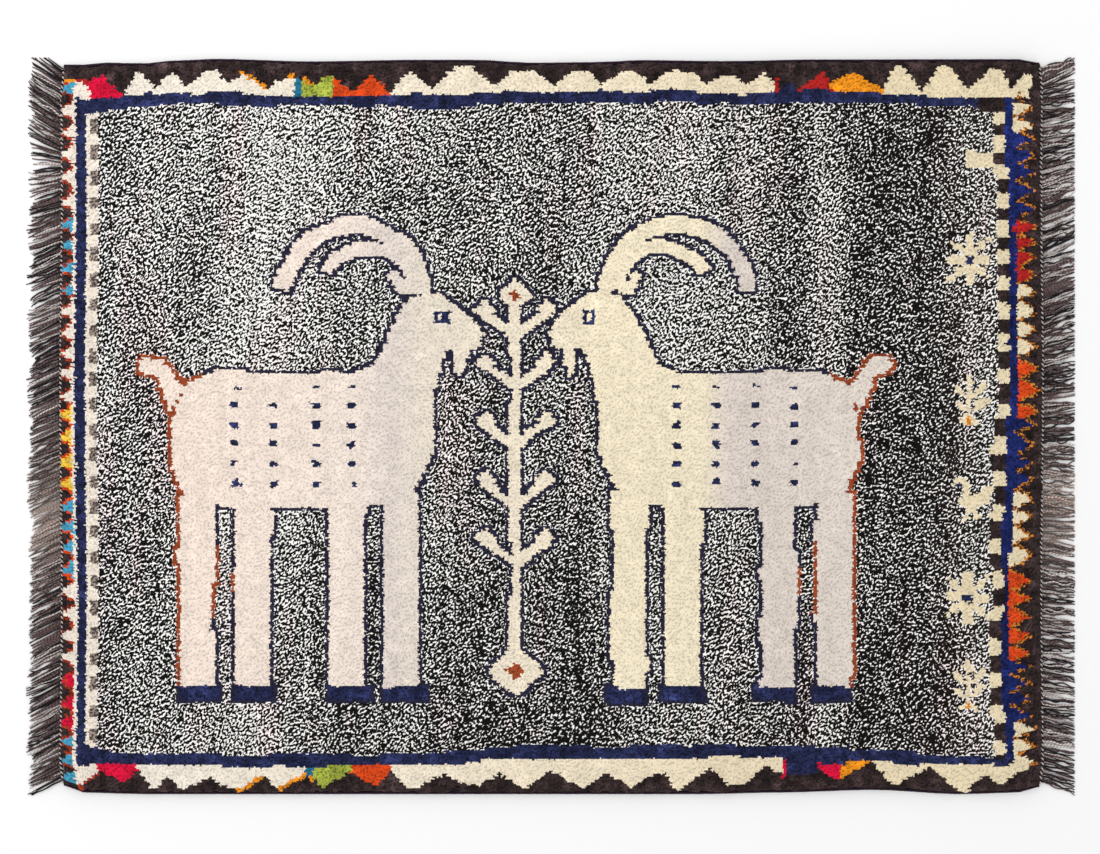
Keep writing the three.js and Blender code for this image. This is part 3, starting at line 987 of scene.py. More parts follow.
def plies_and_twist_shade_group():
    """Chooses the light or the dark colour by a mask with a hairy edge: two plies of one yarn on the pile,
    and a yarn and its painted shade along the twist on the yarn tubes.
    """
    group, start, end = new_group(
        "Two plies",
        (("Light", "NodeSocketColor", (0.8, 0.8, 0.8, 1)), ("Dark", "NodeSocketColor", (0.02, 0.02, 0.02, 1)),
         ("Mask", "NodeSocketFloat", 0.0), ("Softness", "NodeSocketFloat", 0.12),
         ("Hairiness", "NodeSocketFloat", 0.5), ("Hairs per metre", "NodeSocketFloat", 1100.0)),
        (("Colour", "NodeSocketColor"), ("Height", "NodeSocketFloat")))
    place = group.nodes.new("ShaderNodeTexCoord")
    hair = group.nodes.new("ShaderNodeTexNoise")
    hair.inputs["Detail"].default_value = 2.0
    group.links.new(place.outputs["Object"], hair.inputs["Vector"])
    group.links.new(start.outputs["Hairs per metre"], hair.inputs["Scale"])
    centred = math_node(group, "SUBTRACT", hair.outputs["Fac"], 0.5)
    ragged = math_node(group, "MULTIPLY", centred, start.outputs["Hairiness"])
    moved = math_node(group, "ADD", start.outputs["Mask"], ragged)
    scaled = math_node(group, "DIVIDE", moved, start.outputs["Softness"])
    chosen = math_node(group, "ADD", scaled, 0.5, clamp=True)
    mix = group.nodes.new("ShaderNodeMix")
    mix.data_type = "RGBA"
    group.links.new(chosen, mix.inputs["Factor"])
    group.links.new(start.outputs["Dark"], mix.inputs["A"])
    group.links.new(start.outputs["Light"], mix.inputs["B"])
    group.links.new(mix.outputs["Result"], end.inputs["Colour"])
    group.links.new(chosen, end.inputs["Height"])
    return group


def shared_group(name, build):
    """A node group by name, built the first time that it is asked for."""
    return bpy.data.node_groups.get(name) or build()


def attribute_node(tree, name):
    """A node that reads what was painted on a piece under this name."""
    node = tree.nodes.new("ShaderNodeAttribute")
    node.attribute_name = name
    return node


def wool_material(wool, mask):
    """A wool material. Its colours are read from the piece, and mask gives the socket that parts them."""
    ROUGHNESS = 0.92
    SPECULAR = 0.12
    SHEEN = 0.02
    SHEEN_ROUGHNESS = 0.6
    material = bpy.data.materials.new(wool.name)
    material.use_nodes = True
    tree = material.node_tree
    shader = tree.nodes["Principled BSDF"]
    shader.inputs["Roughness"].default_value = ROUGHNESS
    shader.inputs["Specular IOR Level"].default_value = SPECULAR
    shader.inputs["Sheen Weight"].default_value = SHEEN
    shader.inputs["Sheen Roughness"].default_value = SHEEN_ROUGHNESS
    light = attribute_node(tree, "yarn_colour")
    # Darker colour: the dark ply on the pile, and painted shade along the twist on the yarn tubes
    dark = attribute_node(tree, "ply_colour")
    plies = tree.nodes.new("ShaderNodeGroup")
    plies.node_tree = shared_group("Two plies", plies_and_twist_shade_group)
    tree.links.new(light.outputs["Color"], plies.inputs["Light"])
    tree.links.new(dark.outputs["Color"], plies.inputs["Dark"])
    tree.links.new(mask(tree), plies.inputs["Mask"])
    plies.inputs["Hairiness"].default_value = wool.hairiness
    plies.inputs["Hairs per metre"].default_value = wool.hairs
    fibre = tree.nodes.new("ShaderNodeGroup")
    fibre.node_tree = shared_group("Wool fibre", wool_fibre_group)
    fibre.inputs["Fibres per metre"].default_value = wool.fibres
    fibre.inputs["Contrast"].default_value = wool.contrast
    tree.links.new(plies.outputs["Colour"], fibre.inputs["Colour"])
    tree.links.new(fibre.outputs["Colour"], shader.inputs["Base Color"])
    relief = tree.nodes.new("ShaderNodeBump")
    relief.inputs["Strength"].default_value = 1.0
    relief.inputs["Distance"].default_value = wool.bump * MM
    tree.links.new(fibre.outputs["Height"], relief.inputs["Height"])
    tree.links.new(relief.outputs["Normal"], shader.inputs["Normal"])
    return material


def pile_mask(tree):
    """Above zero where the light ply shows on the pile's face."""
    return attribute_node(tree, "light_ply").outputs["Fac"]


def twist_mask(tree):
    """Above zero along the lit part of a twisted yarn, below zero along its painted shade that follows the
    twist.
    """
    MIDDLE = 0.5
    QUARTER = 0.25
    turn = math_node(tree, "FRACT", attribute_node(tree, "twist").outputs["Fac"], 0.0)
    away = math_node(tree, "ABSOLUTE", math_node(tree, "SUBTRACT", turn, MIDDLE), 0.0)
    return math_node(tree, "SUBTRACT", away, QUARTER)


def back_mask(tree):
    """Above zero on the light specks of the rug's back."""
    place = tree.nodes.new("ShaderNodeTexCoord")
    specks = tree.nodes.new("ShaderNodeTexNoise")
    specks.inputs["Scale"].default_value = 210.0
    specks.inputs["Detail"].default_value = 1.0
    tree.links.new(place.outputs["Object"], specks.inputs["Vector"])
    return math_node(tree, "SUBTRACT", specks.outputs["Fac"], 0.5)


# Pieces

class Outline:
    """The rug's outline on the floor, read from the frame's own solid."""

    def __init__(self):
        FLOOR_UP = 0.1
        SIDE_MARGIN = 20
        END_MARGIN = 10
        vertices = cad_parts["pile_body"].data.vertices
        points = np.empty(len(vertices) * 3)
        vertices.foreach_get("co", points)
        points = (points.reshape(-1, 3) - PILE_MIDDLE) / MM
        floor = points[points[:, 2] < FLOOR_UP]
        half_long = PILE_LONG / MM / 2
        half_wide = PILE_WIDE / MM / 2
        self.far = self.side(floor, floor[:, 1] > half_wide - SIDE_MARGIN, 0, 1)
        self.near = self.side(floor, floor[:, 1] < SIDE_MARGIN - half_wide, 0, 1)
        self.left = self.side(floor, floor[:, 0] < END_MARGIN - half_long, 1, 0)
        self.right = self.side(floor, floor[:, 0] > half_long - END_MARGIN, 1, 0)

    @staticmethod
    def side(points, chosen, place, value):
        """One side as its places in order and the outline's distance at each."""
        order = points[chosen][np.argsort(points[chosen][:, place])]
        return order[:, place], order[:, value]

    def plan(self, along_share, across_share):
        """The place in plan of shares from 0 to 1 along and across the rug."""
        nominal = (across_share - 0.5) * PILE_WIDE / MM
        left = np.interp(nominal, *self.left)
        right = np.interp(nominal, *self.right)
        along = left + (right - left) * along_share
        near = np.interp(along, *self.near)
        far = np.interp(along, *self.far)
        return along, near + (far - near) * across_share


# Cells of the pile's face for each knot, along and across
CELLS_ALONG = 3
CELLS_ACROSS = 2
PILE_STRIPS = 5
PILE_HEIGHT = 15.2
# The pile's side from its root up: how far out it stands, and how high that is
PILE_SIDE = (Side(0.0, 3.2), Side(1.6, 8.6), Side(0.8, 12.6))
# How the face rounds off towards its rim
RIM_DROP = 1.3
RIM_REACH = 4.5
RIM_INWARD = 0.9


class Pile:
    """The knots of the rug, and the fine grid of its face."""

    def __init__(self, sizes, colours):
        self.outline = Outline()
        strip_knots = round(PILE_LONG / sizes.knot_along / PILE_STRIPS)
        self.columns = strip_knots * PILE_STRIPS
        self.rows = round(PILE_WIDE / sizes.knot_across)
        self.pitch = np.array([PILE_LONG / self.columns, PILE_WIDE / self.rows]) / MM
        self.place_knots(colours)
        self.place_grid(sizes)
        self.colour_cells()

    def place_knots(self, colours):
        """Where each knot's tuft ends, and its colours."""
        WAVER_ALONG = 1.1
        WAVER_ALONG_SIZE = (14, 20)
        WAVER_ACROSS = 1.4
        WAVER_ACROSS_SIZE = (16, 14)
        COUNTED_WAVER = 0.6
        SCATTER_COLUMN = 0.3
        SCATTER_ROW = 0.36
        shape = (self.columns, self.rows)
        random = np.random.default_rng(SEEDS["tufts"])
        column, row = np.meshgrid(np.arange(self.columns), np.arange(self.rows), indexing="ij")
        along, across = self.outline.plan((column + 0.5) / self.columns, (row + 0.5) / self.rows)
        waver_along = WAVER_ALONG * cloud(shape, self.pitch, WAVER_ALONG_SIZE, SEEDS["waver_along"])
        waver_across = WAVER_ACROSS * cloud(shape, self.pitch, WAVER_ACROSS_SIZE, SEEDS["waver_across"])
        first, last = self.outline.left[1].mean(), self.outline.right[1].mean()
        counted = first + (last - first) * (column + 0.5) / self.columns + COUNTED_WAVER * waver_along
        self.chart, figures = knot_chart(along + waver_along, across + waver_across, counted)
        self.light, self.dark = knot_colours(self.chart, figures, along, self.pitch, colours)
        self.tuft_column = column + 0.5 + random.uniform(-SCATTER_COLUMN, SCATTER_COLUMN, shape)
        self.tuft_row = row + 0.5 + random.uniform(-SCATTER_ROW, SCATTER_ROW, shape)
        near_part = np.interp(across[0], CROWDING_CHANGE, (1, 0))
        for crowd in LEFT_CROWDING:
            self.tuft_column[crowd.column] -= crowd.far + (crowd.near - crowd.far) * near_part

    def nearest(self, column, row):
        """For places in knots along and across: the nearest tuft, and how near it and the next are."""
        STRETCH = 0.8
        FAR_AWAY = 9.0
        own_column = np.clip(np.floor(column).astype(int), 0, self.columns - 1)
        own_row = np.clip(np.floor(row).astype(int), 0, self.rows - 1)
        best = np.full(column.shape, FAR_AWAY)
        second = np.full(column.shape, FAR_AWAY)
        which = np.zeros(column.shape, dtype=int)
        for step_column in (-1, 0, 1):
            for step_row in (-1, 0, 1):
                try_column = np.clip(own_column + step_column, 0, self.columns - 1)
                try_row = np.clip(own_row + step_row, 0, self.rows - 1)
                away = np.hypot((column - self.tuft_column[try_column, try_row]) * STRETCH,
                                row - self.tuft_row[try_column, try_row])
                closer = away < best
                second = np.where(closer, best, np.minimum(second, away))
                which = np.where(closer, try_column * self.rows + try_row, which)
                best = np.where(closer, away, best)
        return which, best, second

    def place_grid(self, sizes):
        """The points of the pile's face and of its sides."""
        UNEVEN = 0.4
        CREASE = 0.45
        RIM_FADE = 2
        NO_LIMIT = 99.0
        RAGGED_OUT = 0.9
        RAGGED_UP = 0.3
        RAGGED_SIZE = (2.6, 2.6)
        FACE = len(PILE_SIDE)
        count_along = self.columns * CELLS_ALONG
        count_across = self.rows * CELLS_ACROSS
        i, j = np.meshgrid(np.arange(-FACE, count_along + FACE + 1),
                           np.arange(-FACE, count_across + FACE + 1), indexing="ij")
        face_i = i.clip(0, count_along)
        face_j = j.clip(0, count_across)
        step = self.pitch / (CELLS_ALONG, CELLS_ACROSS)
        rim_along = np.minimum(face_i, count_along - face_i) * step[0]
        rim_across = np.minimum(face_j, count_across - face_j) * step[1]
        rim = np.minimum(rim_along, rim_across)
        along, across = self.outline.plan(face_i / count_along, face_j / count_across)

        column = face_i / CELLS_ALONG
        row = face_j / CELLS_ACROSS
        self.cell_column = (column[:-1, :-1] + column[1:, 1:]) / 2
        self.cell_row = (row[:-1, :-1] + row[1:, 1:]) / 2
        which, near, next_near = self.nearest(column, row)
        yarn = self.chart.ravel()[which]
        is_field = yarn == YARN["field"]
        self.light_ply = self.lay_plies(sizes, is_field, yarn, along, across, step)
        crown = np.clip((next_near - near) / CREASE, 0, 1)
        up = self.face_height(sizes, is_field, crown, step, rim)

        random = np.random.default_rng(SEEDS["face"])
        loose = UNEVEN * (rim > 0)
        on_face = (i == face_i) & (j == face_j)
        places = [place + loose * random.uniform(-1, 1, i.shape) for place in (along, across)]
        for axis, rim_here in enumerate((rim_along, rim_across)):
            inward = RIM_INWARD * on_face * np.clip(1 - rim_here / RIM_FADE, 0, 1)
            places[axis] = places[axis] - inward * np.sign(places[axis])

        side_out = np.array([side.out for side in PILE_SIDE] + [0.0])
        side_up = np.array([side.up for side in PILE_SIDE] + [NO_LIMIT])
        ragged = RAGGED_OUT * cloud(i.shape, step, RAGGED_SIZE, SEEDS["ragged_rim"])
        for axis, (index, count) in enumerate(((i, count_along), (j, count_across))):
            level = np.minimum(index + FACE, count + FACE - index).clip(0, FACE)
            tuft = ragged * ((level > 0) & (level < FACE))
            outwards = np.where(index < count / 2, -1.0, 1.0)
            up = np.minimum(up, side_up[level] + RAGGED_UP * tuft)
            places[axis] = places[axis] + outwards * (side_out[level] + tuft)
        self.points = np.stack([*places, up], axis=-1)

    @staticmethod
    def lay_plies(sizes, is_field, yarn, along, across, step):
        """Above zero where the light ply of the field shows, or a plain yarn's own colour."""
        marl = strokes(along.shape, step, sizes.ply_pitch / MM, SEEDS["plies"])
        own_share = np.array([OWN_SHARE.get(name, USUAL_OWN_SHARE) for name in YARNS])
        share = np.where(is_field, light_share(along, across, SEEDS["light_share"]), own_share[yarn])
        ranked = np.sort(marl.ravel())
        return marl - np.interp(1 - share, np.linspace(0, 1, ranked.size), ranked)

    def face_height(self, sizes, is_field, crown, step, rim):
        """How high the face stands: its tufts or its strokes, soft swells and the rounded rim."""
        STROKE_HALF = 0.5
        STROKE_EDGE = 1.6
        STROKE_CROWN = 0.2
        SWELL = 0.3
        SWELL_SIZE = (70, 60)
        RIPPLE = 0.12
        RIPPLE_SIZE = (9, 9)
        shape = rim.shape
        crown = crown * crown * (3 - 2 * crown) - 0.5
        plain = sizes.tuft_relief / MM * crown
        stroke = STROKE_HALF * np.tanh(STROKE_EDGE * self.light_ply)
        marled = sizes.stroke_relief / MM * (stroke + STROKE_CROWN * crown)
        swell = SWELL * cloud(shape, step, SWELL_SIZE, SEEDS["swells"])
        swell = swell + RIPPLE * cloud(shape, step, RIPPLE_SIZE, SEEDS["ripples"])
        drop = RIM_DROP * np.clip(1 - rim / RIM_REACH, 0, 1) ** 2
        return PILE_HEIGHT + np.where(is_field, marled, plain) + swell - drop

    def colour_cells(self):
        """Each cell of the face takes the colours of the tuft that covers it."""
        SCATTER = 0.12
        random = np.random.default_rng(SEEDS["cells"])
        shape = self.cell_column.shape
        which, _, _ = self.nearest(self.cell_column + random.uniform(-SCATTER, SCATTER, shape),
                                   self.cell_row + random.uniform(-SCATTER, SCATTER, shape))
        self.cell_light = self.light.reshape(-1, 3)[which]
        self.cell_dark = self.dark.reshape(-1, 3)[which]

    def normals(self):
        """Smooth normals of the whole face, so that its strips meet without a seam."""
        run_along = np.gradient(self.points, axis=0)
        run_across = np.gradient(self.points, axis=1)
        normal = np.cross(run_along, run_across)
        return normal / np.linalg.norm(normal, axis=-1, keepdims=True).clip(TINY)

    def strip(self, number, normals):
        """One strip of the pile as a mesh object."""
        cells = self.cell_light.shape[0]
        width = self.columns // PILE_STRIPS * CELLS_ALONG
        side = len(PILE_SIDE)
        first = 0 if number == 0 else side + number * width
        last = cells if number == PILE_STRIPS - 1 else side + (number + 1) * width
        points = self.points[first:last + 1]
        piece = grid_object(f"rug_pile_{number + 1}", points)
        paint(piece, "yarn_colour", "FLOAT_COLOR", "FACE", self.cell_light[first:last].reshape(-1, 3))
        paint(piece, "ply_colour", "FLOAT_COLOR", "FACE", self.cell_dark[first:last].reshape(-1, 3))
        paint(piece, "light_ply", "FLOAT", "POINT", self.light_ply[first:last + 1])
        piece.data.normals_split_custom_set_from_vertices(normals[first:last + 1].reshape(-1, 3).tolist())
        return piece


def grid_quads(shape):
    """The faces of a grid of points, seen from above with their corners anticlockwise."""
    index = np.arange(shape[0] * shape[1]).reshape(shape)
    return np.stack([index[:-1, :-1], index[1:, :-1], index[1:, 1:], index[:-1, 1:]], axis=-1).reshape(-1, 4)


def grid_object(name, points):
    """A mesh object from a grid of points, with its flat layout."""
    shape = points.shape[:2]
    quads = grid_quads(shape)
    piece = mesh_object(name, points.reshape(-1, 3), quads)
    across, along = np.meshgrid(np.linspace(0, 1, shape[1]), np.linspace(0, 1, shape[0]))
    flat = np.stack([along, across], axis=-1).reshape(-1, 2)
    unfold(piece, flat[quads.ravel()])
    return piece


def foundation_object(pile, sizes, colours):
    """The woven foundation as a closed slab, whose underside shows the backs of the knots."""
    COLUMNS = 120
    ROWS = 90
    column, row = np.meshgrid(np.arange(COLUMNS + 1), np.arange(ROWS + 1), indexing="ij")
    along, across = pile.outline.plan(column / COLUMNS, row / ROWS)
    count = along.size
    low = np.stack([along, across, np.zeros(along.shape)], axis=-1)
    index = np.arange(count).reshape(along.shape)
    ring = np.concatenate([index[:-1, 0], index[-1, :-1], index[:0:-1, -1], index[0, :0:-1]])
    top_ring = count + np.arange(ring.size)
    points = np.concatenate([low.reshape(-1, 3), low.reshape(-1, 3)[ring] + (0, 0, sizes.foundation / MM)])
    underside = grid_quads(along.shape)[:, ::-1]
    wall = np.stack([ring, np.roll(ring, -1), np.roll(top_ring, -1), top_ring], axis=-1)
    mesh = bpy.data.meshes.new("rug_foundation")
    faces = underside.tolist() + wall.tolist() + [top_ring.tolist()]
    mesh.from_pydata((points * MM + PILE_MIDDLE).tolist(), [], faces)
    mesh.update(calc_edges=True)
    piece = bpy.data.objects.new("rug_foundation", mesh)
    bpy.context.scene.collection.objects.link(piece)

    knot_column = ((column[:-1, :-1] + 0.5) / COLUMNS * pile.columns).astype(int)
    knot_row = ((row[:-1, :-1] + 0.5) / ROWS * pile.rows).astype(int)
    rest = len(faces) - len(underside)
    for name, knots in (("yarn_colour", pile.light), ("ply_colour", pile.dark)):
        seen = knots[knot_column, knot_row].reshape(-1, 3)
        edge = np.tile(linear(colours.foundation), (rest, 1))
        paint(piece, name, "FLOAT_COLOR", "FACE", np.concatenate([seen, edge]))
    return piece


def yarn_tubes(name, centres, radii, sides, light, dark, turns, flatten=1.0):
    """Yarns as closed tubes of one mesh.

    centres is an array of yarns, steps and three coordinates, radii one of yarns and steps, light the colour
    and dark the painted shade along the twist of each yarn or of each yarn's steps, and turns the twist at
    each step.
    """
    LAYOUT_SHARE = 0.92
    LAYOUT_MARGIN = 0.04
    yarns, steps = radii.shape
    ahead = np.gradient(centres, axis=1)
    ahead /= np.linalg.norm(ahead, axis=-1, keepdims=True)
    beside = np.cross((0.0, 0.0, 1.0), ahead)
    beside /= np.linalg.norm(beside, axis=-1, keepdims=True)
    above = np.cross(ahead, beside)
    angle = np.arange(sides) / sides * 2 * math.pi
    ring = np.cos(angle)[:, None] * beside[:, :, None, :]
    ring = ring + flatten * np.sin(angle)[:, None] * above[:, :, None, :]
    points = centres[:, :, None, :] + ring * radii[:, :, None, None]
    index = np.arange(yarns * steps * sides).reshape(yarns, steps, sides)
    turned = np.roll(index, -1, axis=2)
    quads = np.stack([index[:, :-1], turned[:, :-1], turned[:, 1:], index[:, 1:]], axis=-1).reshape(-1, 4)
    piece = mesh_object(name, points.reshape(-1, 3), quads)

    around = np.arange(sides) / sides
    corner_around = np.stack([around, around + 1 / sides, around + 1 / sides, around], axis=-1)
    corner_turn = np.concatenate([
        np.broadcast_to(turn[:, :, None, None], (yarns, steps - 1, sides, 2))
        for turn in (turns[:, :-1], turns[:, 1:])], axis=-1)
    paint(piece, "twist", "FLOAT", "CORNER", (corner_around + corner_turn).reshape(-1))
    for label, colours in (("yarn_colour", light), ("ply_colour", dark)):
        full = np.broadcast_to(colours, (yarns, steps, 3))[:, :-1]
        paint(piece, label, "FLOAT_COLOR", "FACE", np.repeat(full.reshape(-1, 3), sides, axis=0))

    columns = math.ceil(math.sqrt(yarns))
    cell = np.stack([np.arange(yarns) % columns, np.arange(yarns) // columns], axis=-1)
    cell = cell[:, None, None, None, :]
    rise = np.arange(steps) / (steps - 1)
    corner_rise = np.stack([rise[:-1], rise[:-1], rise[1:], rise[1:]], axis=-1)
    flat = np.stack(np.broadcast_arrays(corner_around[None], corner_rise[:, None]), axis=-1)
    unfold(piece, ((flat[None] * LAYOUT_SHARE + LAYOUT_MARGIN + cell) / columns).reshape(-1, 2))
    return piece


def end_line(outline, side):
    """The foot of one end of the pile, as places across the rug and places along it."""
    return outline.right if side > 0 else outline.left


def end_corners(outline, side):
    """Where the near and the far corner of one end lie across the rug."""
    end = side * PILE_LONG / MM / 2
    return np.interp(end, *outline.near), np.interp(end, *outline.far)


def fringe_centres(sizes, outline, side, random):
    """The middle lines of one end's loose warps, from under the twined row to their tips."""
    STEPS = 13
    MARGIN = 2.5
    ROOT_OUT = 1.6
    LOCK = 5
    STRAY_SHARE = 0.10
    TRIMMED = 803
    UNTRIMMED = 799
    LONGEST = 806
    WIDEST = 566
    WAVES = 11
    WAVE_HEIGHT = 0.32 if side > 0 else 0.16
    WAVE_OWN = 0.7
    WAVE_SHARED = 0.5
    LIFT = 2.4
    LIFT_PEAK = 0.8
    ROOT_UP = 0.8
    ROOT_SPREAD = 0.7
    LEAN_SHARED = 0.03
    LEAN_OWN = 0.07
    STRAY_CURL = 3.0
    CURL_OWN = 0.12
    CURL_SHARED = 0.07
    CURL_START = 0.3
    LOCK_REACH = 2.5
    RIGHT_UNEVEN = (-1.5, 0.5)
    LEFT_UNEVEN = (-3.0, 2.5)
    LEAST_DRIFT = 0.05
    count = sizes.warp_ends
    near, far = end_corners(outline, side)
    root_across = np.linspace(near + MARGIN, far - MARGIN, count)
    root_across = root_across + random.uniform(-ROOT_SPREAD, ROOT_SPREAD, count)
    root_along = np.interp(root_across, *end_line(outline, side)) + side * ROOT_OUT
    comb = LEFT_COMB if side < 0 else RIGHT_COMB
    locks = np.repeat(random.standard_normal(count // LOCK + 1), LOCK)[:count]
    angle = np.arctan(read(comb, root_across)) + LEAN_SHARED * locks
    angle = angle + LEAN_OWN * random.standard_normal(count)
    stray = np.where(random.uniform(0, 1, count) < STRAY_SHARE, STRAY_CURL, 1.0)
    curl = stray * (CURL_OWN * random.standard_normal(count) + CURL_SHARED * np.roll(locks, 2))
    wave = WAVE_OWN * random.standard_normal(count) + WAVE_SHARED * np.roll(locks, 3)
    wave = WAVE_HEIGHT * wave
    phase = random.uniform(0, 2 * math.pi, count)

    share = np.linspace(0, 1, STEPS)[None, :]
    swing = wave[:, None] * np.sin(share * WAVES + phase[:, None])
    heading = angle[:, None] + curl[:, None] * (share - CURL_START) * share + swing
    forward = np.cumsum(np.cos(heading), axis=1)
    sideways = np.cumsum(np.sin(heading), axis=1)
    forward = (forward - forward[:, :1]) / (forward[:, -1:] - forward[:, :1])
    sideways = (sideways - sideways[:, :1]) / (STEPS - 1)

    if side > 0:
        reach = TRIMMED - root_along + random.uniform(*RIGHT_UNEVEN, count)
    else:
        reach = UNTRIMMED + root_along + LOCK_REACH * locks + random.uniform(*LEFT_UNEVEN, count)
    drift = sideways[:, -1]
    room = WIDEST - root_across * np.sign(drift)
    reach = np.minimum(reach, room / np.abs(drift).clip(LEAST_DRIFT))
    reach = np.minimum(reach, LONGEST - np.abs(root_along))[:, None]
    lift = random.uniform(0, LIFT, count)[:, None]
    up = sizes.warp_width / MM / 2 + ROOT_UP * (1 - share) ** 2
    up = up + lift * np.sin(math.pi * share ** LIFT_PEAK)
    along = root_along[:, None] + side * forward * reach
    across = root_across[:, None] + sideways * reach
    return np.stack([along, across, up], axis=-1)


def fringe_object(sizes, colours, outline, side):
    """One end's loose warps: dark, grey-brown and pale yarns side by side. The dark ones are partly dark yarn
    and partly painted shade between the strands, and every warp carries painted shade along its twist.
    """
    SIDES = 4
    # Share of warps that are dark: partly dark yarn, partly painted shade in the gaps between strands
    DARK_AND_SHADE_SHARE = 0.38
    PALE_SHARE = 0.15 if side > 0 else 0.12
    FADED_ACROSS = -130
    FADED_REACH = 75
    FADING = 0.85
    DARK_FADING = 0.4
    TURNS = 10
    TAPER = 0.4
    THICKNESS = (0.8, 1.1)
    BRIGHTNESS = (0.7, 1.25)
    # Painted shade along each warp's twist: how much lighter a dark warp's lit part is than its shaded part,
    # and how dark the shaded part of the other warps is beside their own colour
    DARK_LIFT = 1.6
    PALE_TWIST_SHADE = 0.5
    GREY_TWIST_SHADE = 0.35
    FADED_TWIST_SHADE = 0.45
    name = "left" if side < 0 else "right"
    random = np.random.default_rng(SEEDS[f"{name}_fringe"])
    centres = fringe_centres(sizes, outline, side, random)
    count, steps = centres.shape[:2]
    share = np.linspace(0, 1, steps)[None, :]
    radii = sizes.warp_width / MM / 2 * (1 - TAPER * share ** 3)
    radii = radii * random.uniform(*THICKNESS, count)[:, None]
    turns = random.uniform(0, 1, count)[:, None] + share * TURNS
    deepest = linear(colours.dark_warp_and_shade)
    grey = linear(colours.warp_grey)
    pale = linear(colours.warp_light)
    beige = linear(colours.warp_faded)
    faded = FADING * np.exp(-((centres[:, 0, 1] - FADED_ACROSS) / FADED_REACH) ** 2)[:, None]
    kind = random.uniform(0, 1, count)[:, None]
    # Dark warps, which partly stand for painted shade between strands
    is_dark_and_shade = kind < DARK_AND_SHADE_SHARE
    is_pale = kind > 1 - PALE_SHARE
    faded = faded * np.where(is_dark_and_shade, DARK_FADING, 1.0)
    light = np.where(is_dark_and_shade, deepest * DARK_LIFT, np.where(is_pale, pale, grey))
    light = light + (beige - light) * faded
    light = light * random.uniform(*BRIGHTNESS, count)[:, None]
    # Painted shade along the twist: a darker copy of each warp's own colour
    deep = np.where(is_dark_and_shade, deepest, np.where(is_pale, pale * PALE_TWIST_SHADE, grey * GREY_TWIST_SHADE))
    deep = deep + (beige * FADED_TWIST_SHADE - deep) * faded
    return yarn_tubes(f"rug_fringe_{name}", centres, radii, SIDES, light[:, None], deep[:, None], turns)


def twined_row_object(sizes, colours, outline, side):
    """The row of two twined yarns, one dark and one light, that locks the end of the weave."""
    SIDES = 5
    STEPS_A_TURN = 6
    OUT = 3.0
    SWING = 1.3
    RADIUS = 1.45
    HEIGHT = 2.9
    TWIST_PITCH = 4.0
    # How dark the painted shade along the twist is beside the yarn's own colour
    TWIST_SHADE = 0.7
    pitch = sizes.twining_pitch / MM
    near, far = end_corners(outline, side)
    steps = round((far - near) / pitch * STEPS_A_TURN)
    across = np.linspace(near, far, steps)
    turn = across / pitch * 2 * math.pi
    along = np.interp(across, *end_line(outline, side)) + side * OUT
    centres = []
    for start in (0, math.pi):
        swung = along + SWING * np.cos(turn + start)
        centres.append(np.stack([swung, across, HEIGHT + SWING * np.sin(turn + start)], axis=-1))
    radii = np.full((2, steps), RADIUS)
    turns = np.broadcast_to(across / TWIST_PITCH, (2, steps))
    light = np.array([linear(colours.warp_light), linear(colours.dark_warp_and_shade)])
    # Painted shade: a darker copy of each yarn's colour along its twist
    dark = light * TWIST_SHADE
    return yarn_tubes(f"rug_twining_{'left' if side < 0 else 'right'}", np.stack(centres), radii, SIDES,
                      light[:, None], dark[:, None], turns)


def selvedge_object(sizes, colours, outline, side):
    """The edge warps of one long side, overcast with dark wool."""
    SIDES = 6
    RINGS_A_WRAP = 3
    SEAM = 0.3
    SLACK = 0.2
    SHORTER = 3.5
    HALF_WIDTH = 2.9
    HALF_HEIGHT = 2.45
    GROOVE = 0.84
    WRAP_WIDTHS = 0.05
    WRAP_SHADES = 0.3
    # How dark the painted shade along each wrap's turn is beside the wool's own colour
    TWIST_SHADE = 0.6
    wrap = sizes.selvedge_wrap / MM
    half_long = PILE_LONG / MM / 2 - SHORTER
    steps = round(2 * half_long / wrap) * RINGS_A_WRAP
    along = np.linspace(-half_long, half_long, steps)
    edge = np.interp(along, *(outline.far if side > 0 else outline.near))
    across = edge + side * (SEAM + HALF_WIDTH + SLACK)
    random = np.random.default_rng(SEEDS["selvedges"] + side)
    ridge = np.where(np.arange(steps) % RINGS_A_WRAP == 0, GROOVE, 1.0)
    wraps = np.repeat(random.uniform(-1, 1, steps // RINGS_A_WRAP + 1), RINGS_A_WRAP)[:steps]
    radii = HALF_WIDTH * ridge * (1 + WRAP_WIDTHS * wraps)
    centres = np.stack([along, across, np.full(steps, HALF_HEIGHT)], axis=-1)[None]
    colour = linear(colours.selvedge) * (1 + WRAP_SHADES * wraps)[:, None]
    turns = (np.arange(steps) / RINGS_A_WRAP)[None]
    # Painted shade: a darker copy of the wool's colour along each wrap's turn
    return yarn_tubes(f"rug_selvedge_{'far' if side > 0 else 'near'}", centres, radii[None], SIDES,
                      colour[None], colour[None] * TWIST_SHADE, turns, flatten=HALF_HEIGHT / HALF_WIDTH)


# Operators

class PieceOperator:
    """What the operators share: settings by name."""

    bl_options = {"REGISTER", "UNDO"}

    @staticmethod
    def settings(context):
        """The sizes and the colours of the scene."""
        return context.scene.rug_sizes, context.scene.rug_colours


